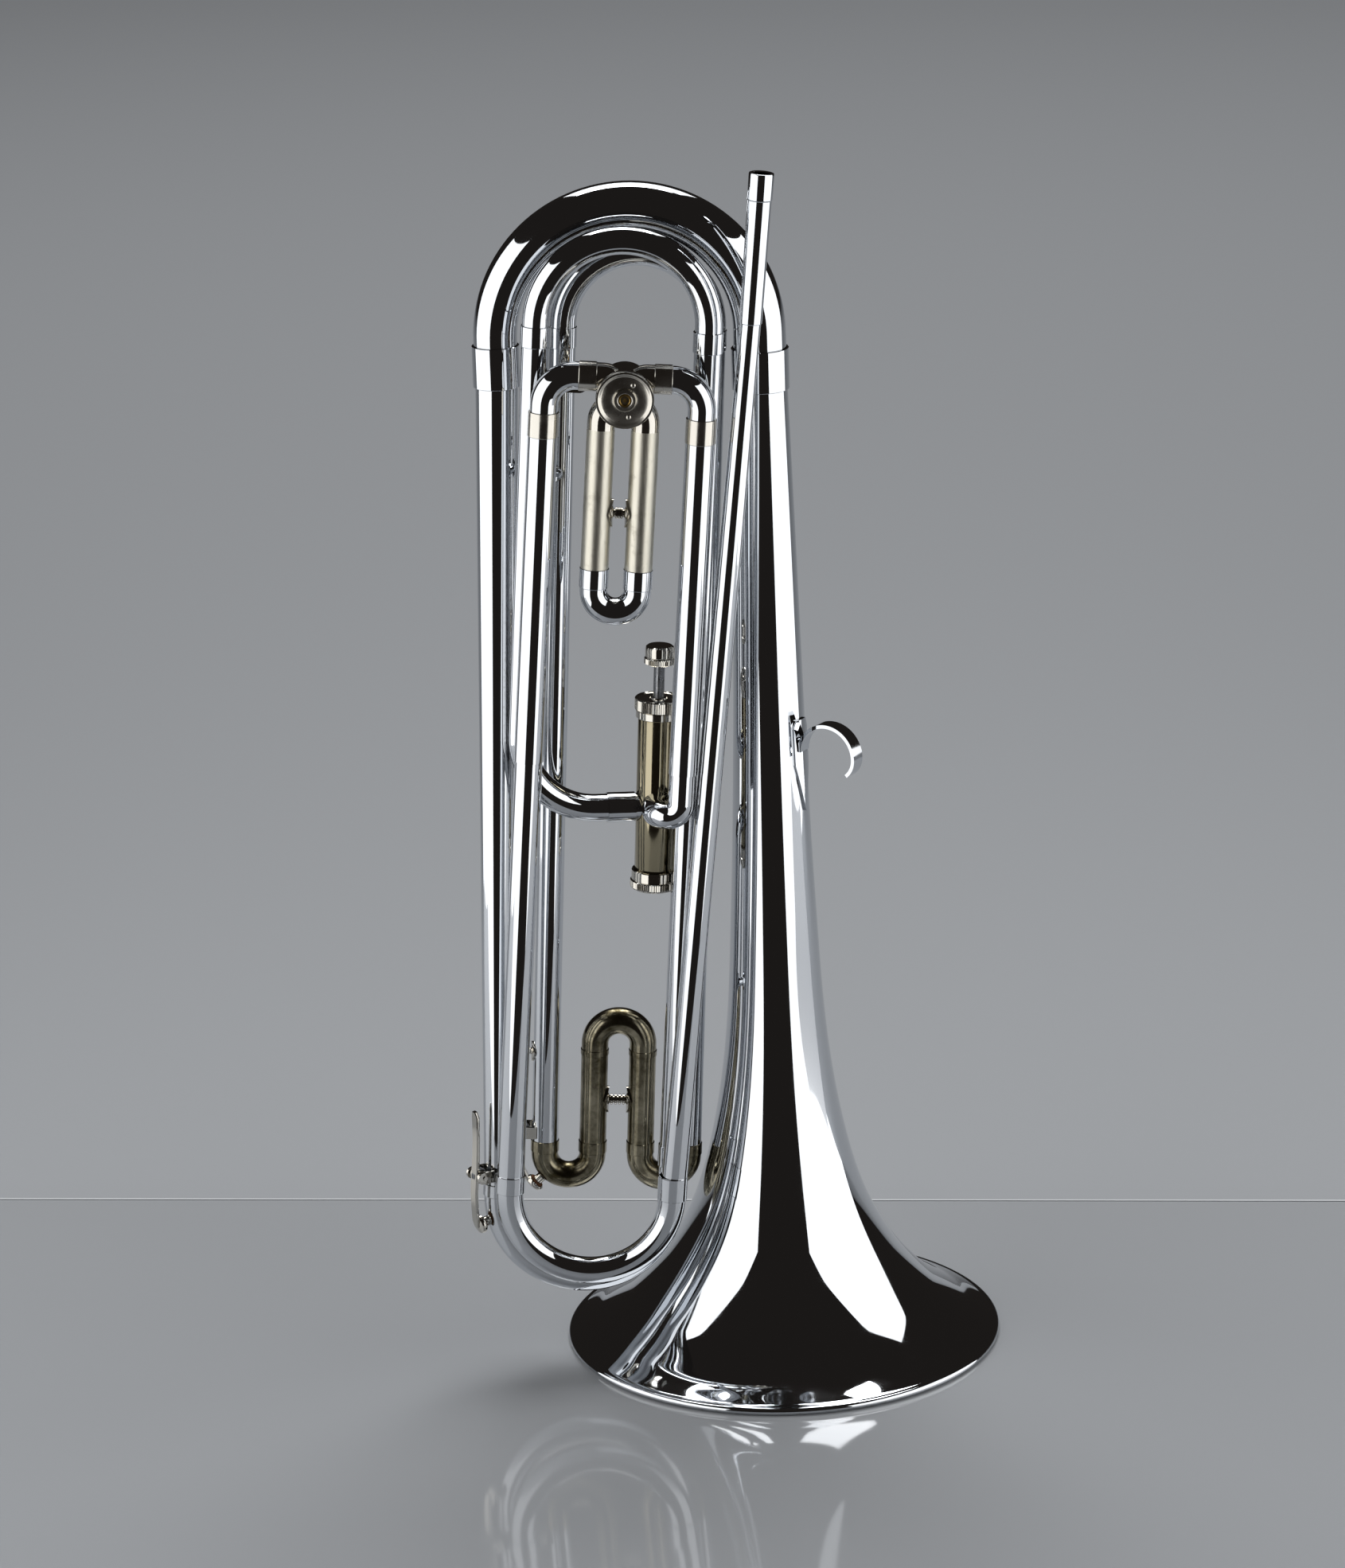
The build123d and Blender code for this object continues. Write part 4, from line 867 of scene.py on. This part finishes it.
class HORN_OT_water_keys(bpy.types.Operator):
    """Make the water keys: a bent bar with a cup, turning on a barrel, and its coiled spring"""

    bl_idname = "horn.water_keys"
    bl_label = "Water keys"

    reach = 11.4        # of the pivot, out from the tube's centre line
    # name, frame node, body, loop, foot of the swing plane, its turn, cup seat and angle, spine of the bar
    keys = [
        ("branch_key_lever", "branch_water_key", "branch_key", middle, (BRANCH_FOOT, 88.7), 35.0,
         (-1.4, -23.5), -14.0,
         [(11.3, -27.2), (12.3, -24), (13.2, -18), (13.9, -9), (13.9, 0), (13.7, 9), (13.9, 20), (14.6, 31),
          (15.3, 34)]),
        ("loop_key_lever", "loop_water_key", "loop_key", back, (LOOP_LEFT, 103.4), 0.0,
         (-3.5, -20.0), -45.0,
         [(5.6, -29.4), (8.0, -26), (10.9, -20), (13.2, -9), (13.9, 0), (13.7, 9), (13.9, 20), (15.0, 31),
          (16.6, 35)]),
    ]
    half_widths = [1.6, 2.4, 2.2, 2.3, 2.6, 2.3, 2.2, 2.4, 1.3]     # of the bar, at each point of its spine
    half_thick = 0.9
    # the bar's section, as shares of its half width and half thickness
    section = [(-1, -0.5), (-0.85, -1), (0.85, -1), (1, -0.5), (1, 0.5), (0.85, 1), (-0.85, 1), (-1, 0.5)]
    barrel = [(1.26, 0), (2.8, 0), (3.1, 0.3), (3.1, 7.7), (2.8, 8), (1.26, 8)]
    cup = [(0, 11.8), (3.7, 11.8), (3.7, 10.4), (4.5, 10.4), (4.7, 10.6), (4.7, 11.9), (4.3, 12.7),
           (3.2, 13.2), (0, 13.4)]
    coil_radius, coil_half_width, wire_radius = 3.5, 1.6, 0.32
    coil_steps, coil_turn_steps, coil_start = 56, 16, 0.6       # points in all, points to a turn, first angle
    post_height = 145.0
    post = [(0, 5.8), (2.6, 5.8), (2.6, 7.3), (1.9, 7.5), (1.6, 8.0), (1.6, 10.4), (2.1, 10.7), (2.1, 12.0),
            (1.7, 12.4), (0, 12.4)]

    def bar(self, bm, swing, side, spine):
        """A flat bar with softened edges that follows the spine."""
        rings = []
        for index, (out, up) in enumerate(spine):
            before, after = spine[max(index - 1, 0)], spine[min(index + 1, len(spine) - 1)]
            run = Vector((after[0] - before[0], after[1] - before[1])).normalized()
            half, thin = self.half_widths[index], self.half_thick
            ring = []
            for across, lift in self.section:
                ring.append(bm.verts.new(swing(out + run.y * thin * lift, up - run.x * thin * lift)
                                         + side * across * half * MM))
            rings.append(ring)
        for low, high in zip(rings, rings[1:]):
            for step in range(8):
                bm.faces.new((low[step], low[(step + 1) % 8], high[(step + 1) % 8], high[step]))
        bm.faces.new(rings[0][::-1])
        bm.faces.new(rings[-1])

    def execute(self, context):
        for name, node, body, loop, foot, turn, seat, angle, spine in self.keys:
            away = Matrix.Rotation(math.radians(180 + turn), 3, "Z") @ loop.across
            out = (away - loop.along * away.dot(loop.along)).normalized()
            side = out.cross(loop.along)
            start = loop.at(*foot)

            def swing(right, up):
                return start + (out * right + loop.along * up) * MM

            bm = bmesh.new()
            self.bar(bm, swing, side, spine)
            pivot = swing(self.reach, 0)
            turned(bm, pivot - side * 4 * MM, side, self.barrel, 40)
            way = out * math.cos(math.radians(angle)) + loop.along * math.sin(math.radians(angle))
            turned(bm, swing(*seat), way, self.cup, 48)
            smooth_piece(bm, name, [node], body, "nickel")
            coil = []
            middle_step = (self.coil_steps - 1) / 2
            for step in range(self.coil_steps):
                spin = math.tau * step / self.coil_turn_steps + self.coil_start
                turn_out = out * math.cos(spin) + loop.along * math.sin(spin)
                coil.append(pivot + turn_out * self.coil_radius * MM
                            + side * (step / middle_step - 1) * self.coil_half_width * MM)
            bm = bmesh.new()
            skin(bm, coil, self.wire_radius * MM, 0.0)
            smooth_piece(bm, name.replace("lever", "spring"), [], body, "steel")

        # a short post on the loop's left tube, with the plate it is soldered on by
        bm = bmesh.new()
        way = -back.across
        turned(bm, back.at(LOOP_LEFT, self.post_height), way, self.post, 36)
        flange(bm, back, LOOP_LEFT, self.post_height, -1, half_height=5.0, half_width=4.2)
        smooth_piece(bm, "loop_tube_post", [], "horn", "nickel")
        return {"FINISHED"}


class HORN_OT_stage(bpy.types.Operator):
    """Set the table, the backdrop, the soft lights and the camera"""

    bl_idname = "horn.stage"
    bl_label = "Stage"

    def plate(self, name, low, high, finish, turn=0.0):
        """A flat stage sheet between two opposite corners, turned about the middle of its back edge."""
        bm = bmesh.new()
        made = bmesh.ops.create_grid(bm, x_segments=1, y_segments=1, size=0.5)
        bmesh.ops.scale(bm, verts=made["verts"], vec=(high.x - low.x, high.y - low.y, 1))
        bmesh.ops.translate(bm, verts=made["verts"], vec=(low + high) / 2)
        bmesh.ops.rotate(bm, verts=made["verts"], cent=(0, high.y, 0),
                         matrix=Matrix.Rotation(math.radians(turn), 3, "Z"))
        mesh = bpy.data.meshes.new(name)
        bm.to_mesh(mesh)
        bm.free()
        mesh.materials.append(finish)
        sheet = bpy.data.objects.new(name, mesh)
        bpy.context.scene.collection.objects.link(sheet)

    def lamp(self, name, place, aim, width, height, watts):
        """A soft box: a rectangular area light turned to a point."""
        light = bpy.data.lights.new(name, "AREA")
        light.shape = "RECTANGLE"
        light.size, light.size_y = width, height
        light.energy = watts
        box = bpy.data.objects.new(name, light)
        bpy.context.scene.collection.objects.link(box)
        box.location = place
        box.rotation_mode = "QUATERNION"
        box.rotation_quaternion = (Vector(aim) - Vector(place)).to_track_quat("-Z", "Y")

    # name, place, the point it is turned to, width, height and watts of each lamp, in metres
    lamps = [
        ("soft_box_left", (-1.05, -0.7, 0.35), (0, -0.7, 0.35), 2.1, 1.7, 17.5),
        ("soft_box_right", (1.05, -0.65, 0.35), (0, -0.65, 0.35), 2.1, 1.7, 17.5),
        ("soft_box_above", (0, 0.75, 1.55), (0, -0.1, 0.2), 1.1, 0.7, 4),
        ("backdrop_light", (0, 2.4, 4.2), (0, 2.4, 0), 3.0, 2.4, 132),
    ]
    # the table's front, back and half width, the turn of its back edge, and the drop to the paper behind it
    table_front, table_back, table_half_width, table_turn = -0.42, 0.172, 1.6, -5.0
    paper_drop = 0.02
    camera_place, camera_pitch, camera_roll = (-0.056, -2.489, 1.072), -17.5, -1.8
    sensor_mm, lens_mm, lens_shift = 36.0, 123.2, (0.0109, 0.0015)

    def table_finish(self):
        # cast acrylic sheet: pale grey, polished, with faint clouding
        made, tree, place = blank("polished_grey_acrylic")
        cloud = add(tree, "ShaderNodeTexNoise", {"Scale": per_mm(140), "Detail": 4.0}, {"Vector": place})
        rough = add(tree, "ShaderNodeMapRange",
                    {"From Min": 0.35, "From Max": 0.7, "To Min": 0.04, "To Max": 0.09},
                    {"Value": cloud.outputs["Fac"]})
        return finished(made, {"Base Color": linear(bpy.context.scene.horn_colours.table), "IOR": 1.49},
                        {"Roughness": rough.outputs[0]})

    def paper_finish(self, name, colour):
        # matt background paper, or a lighter strip painted along the table top's back edge as its highlight
        made, tree, place = blank(name)
        fibre = add(tree, "ShaderNodeTexNoise", {"Scale": per_mm(3), "Detail": 2.0}, {"Vector": place})
        relief = add(tree, "ShaderNodeBump", {"Strength": 0.2, "Distance": 0.1 * MM},
                     {"Height": fibre.outputs["Fac"]})
        return finished(made, {"Base Color": linear(colour), "Roughness": 0.9},
                        {"Normal": relief.outputs[0]})

    def execute(self, context):
        left, right = -self.table_half_width, self.table_half_width
        self.plate("table_top", Vector((left, self.table_front, 0)), Vector((right, self.table_back, 0)),
                   self.table_finish(), turn=self.table_turn)
        # the edge is a strip 1.5 mm wide, just above the table top, painted lighter as the highlight along
        # the table's back edge
        self.plate("table_edge", Vector((left, self.table_back - 1.5 * MM, 0.4 * MM)),
                   Vector((right, self.table_back, 0.4 * MM)),
                   self.paper_finish("painted_edge_highlight", "D5D8DB"), turn=self.table_turn)
        self.plate("backdrop", Vector((-6, 0, -self.paper_drop)), Vector((6, 9, -self.paper_drop)),
                   self.paper_finish("matt_grey_paper", context.scene.horn_colours.backdrop))
        for settings in self.lamps:
            self.lamp(*settings)

        world = bpy.data.worlds.new("dark_studio")
        world.use_nodes = True
        world.node_tree.nodes["Background"].inputs["Color"].default_value = linear("221F1D")
        context.scene.world = world

        lens = bpy.data.cameras.new("camera")
        lens.sensor_fit = "VERTICAL"
        lens.sensor_width = lens.sensor_height = self.sensor_mm
        lens.lens = self.lens_mm
        lens.shift_x, lens.shift_y = self.lens_shift
        lens.clip_start, lens.clip_end = 0.05, 40
        camera = bpy.data.objects.new("camera", lens)
        context.scene.collection.objects.link(camera)
        camera.matrix_world = (Matrix.Translation(self.camera_place)
                               @ Matrix.Rotation(math.radians(90 + self.camera_pitch), 4, "X")
                               @ Matrix.Rotation(math.radians(self.camera_roll), 4, "Z"))
        context.scene.camera = camera
        context.scene.view_settings.view_transform = "Standard"
        return {"FINISHED"}


class HORN_PT_panel(bpy.types.Panel):
    """The horn's pieces, sizes and colours"""

    bl_idname = "HORN_PT_panel"
    bl_label = "Horn bugle"
    bl_space_type = "VIEW_3D"
    bl_region_type = "UI"
    bl_category = "Horn"

    def draw(self, context):
        for group in (context.scene.horn_sizes, context.scene.horn_colours):
            for key in group.bl_rna.properties.keys():
                if key not in ("rna_type", "name"):
                    self.layout.prop(group, key)
        for operator in OPERATORS:
            self.layout.operator(operator.bl_idname)


OPERATORS = (HORN_OT_cad_finishes, HORN_OT_bell, HORN_OT_branch, HORN_OT_tubes, HORN_OT_ferrules,
             HORN_OT_leadpipe, HORN_OT_piston, HORN_OT_rotor, HORN_OT_braces,
             HORN_OT_water_keys, HORN_OT_stage)
CLASSES = (HornSizes, HornColours, *OPERATORS, HORN_PT_panel)


def register():
    for part in CLASSES:
        bpy.utils.register_class(part)
    bpy.types.Scene.horn_sizes = PointerProperty(type=HornSizes)
    bpy.types.Scene.horn_colours = PointerProperty(type=HornColours)


def unregister():
    del bpy.types.Scene.horn_colours
    del bpy.types.Scene.horn_sizes
    for part in reversed(CLASSES):
        bpy.utils.unregister_class(part)


def main():
    register()
    bpy.ops.horn.cad_finishes()
    bpy.ops.horn.bell()
    bpy.ops.horn.branch()
    bpy.ops.horn.tubes()
    bpy.ops.horn.ferrules()
    bpy.ops.horn.leadpipe()
    bpy.ops.horn.piston()
    bpy.ops.horn.rotor()
    bpy.ops.horn.braces()
    bpy.ops.horn.water_keys()
    bpy.ops.horn.stage()


if __name__ == "__main__":
    main()
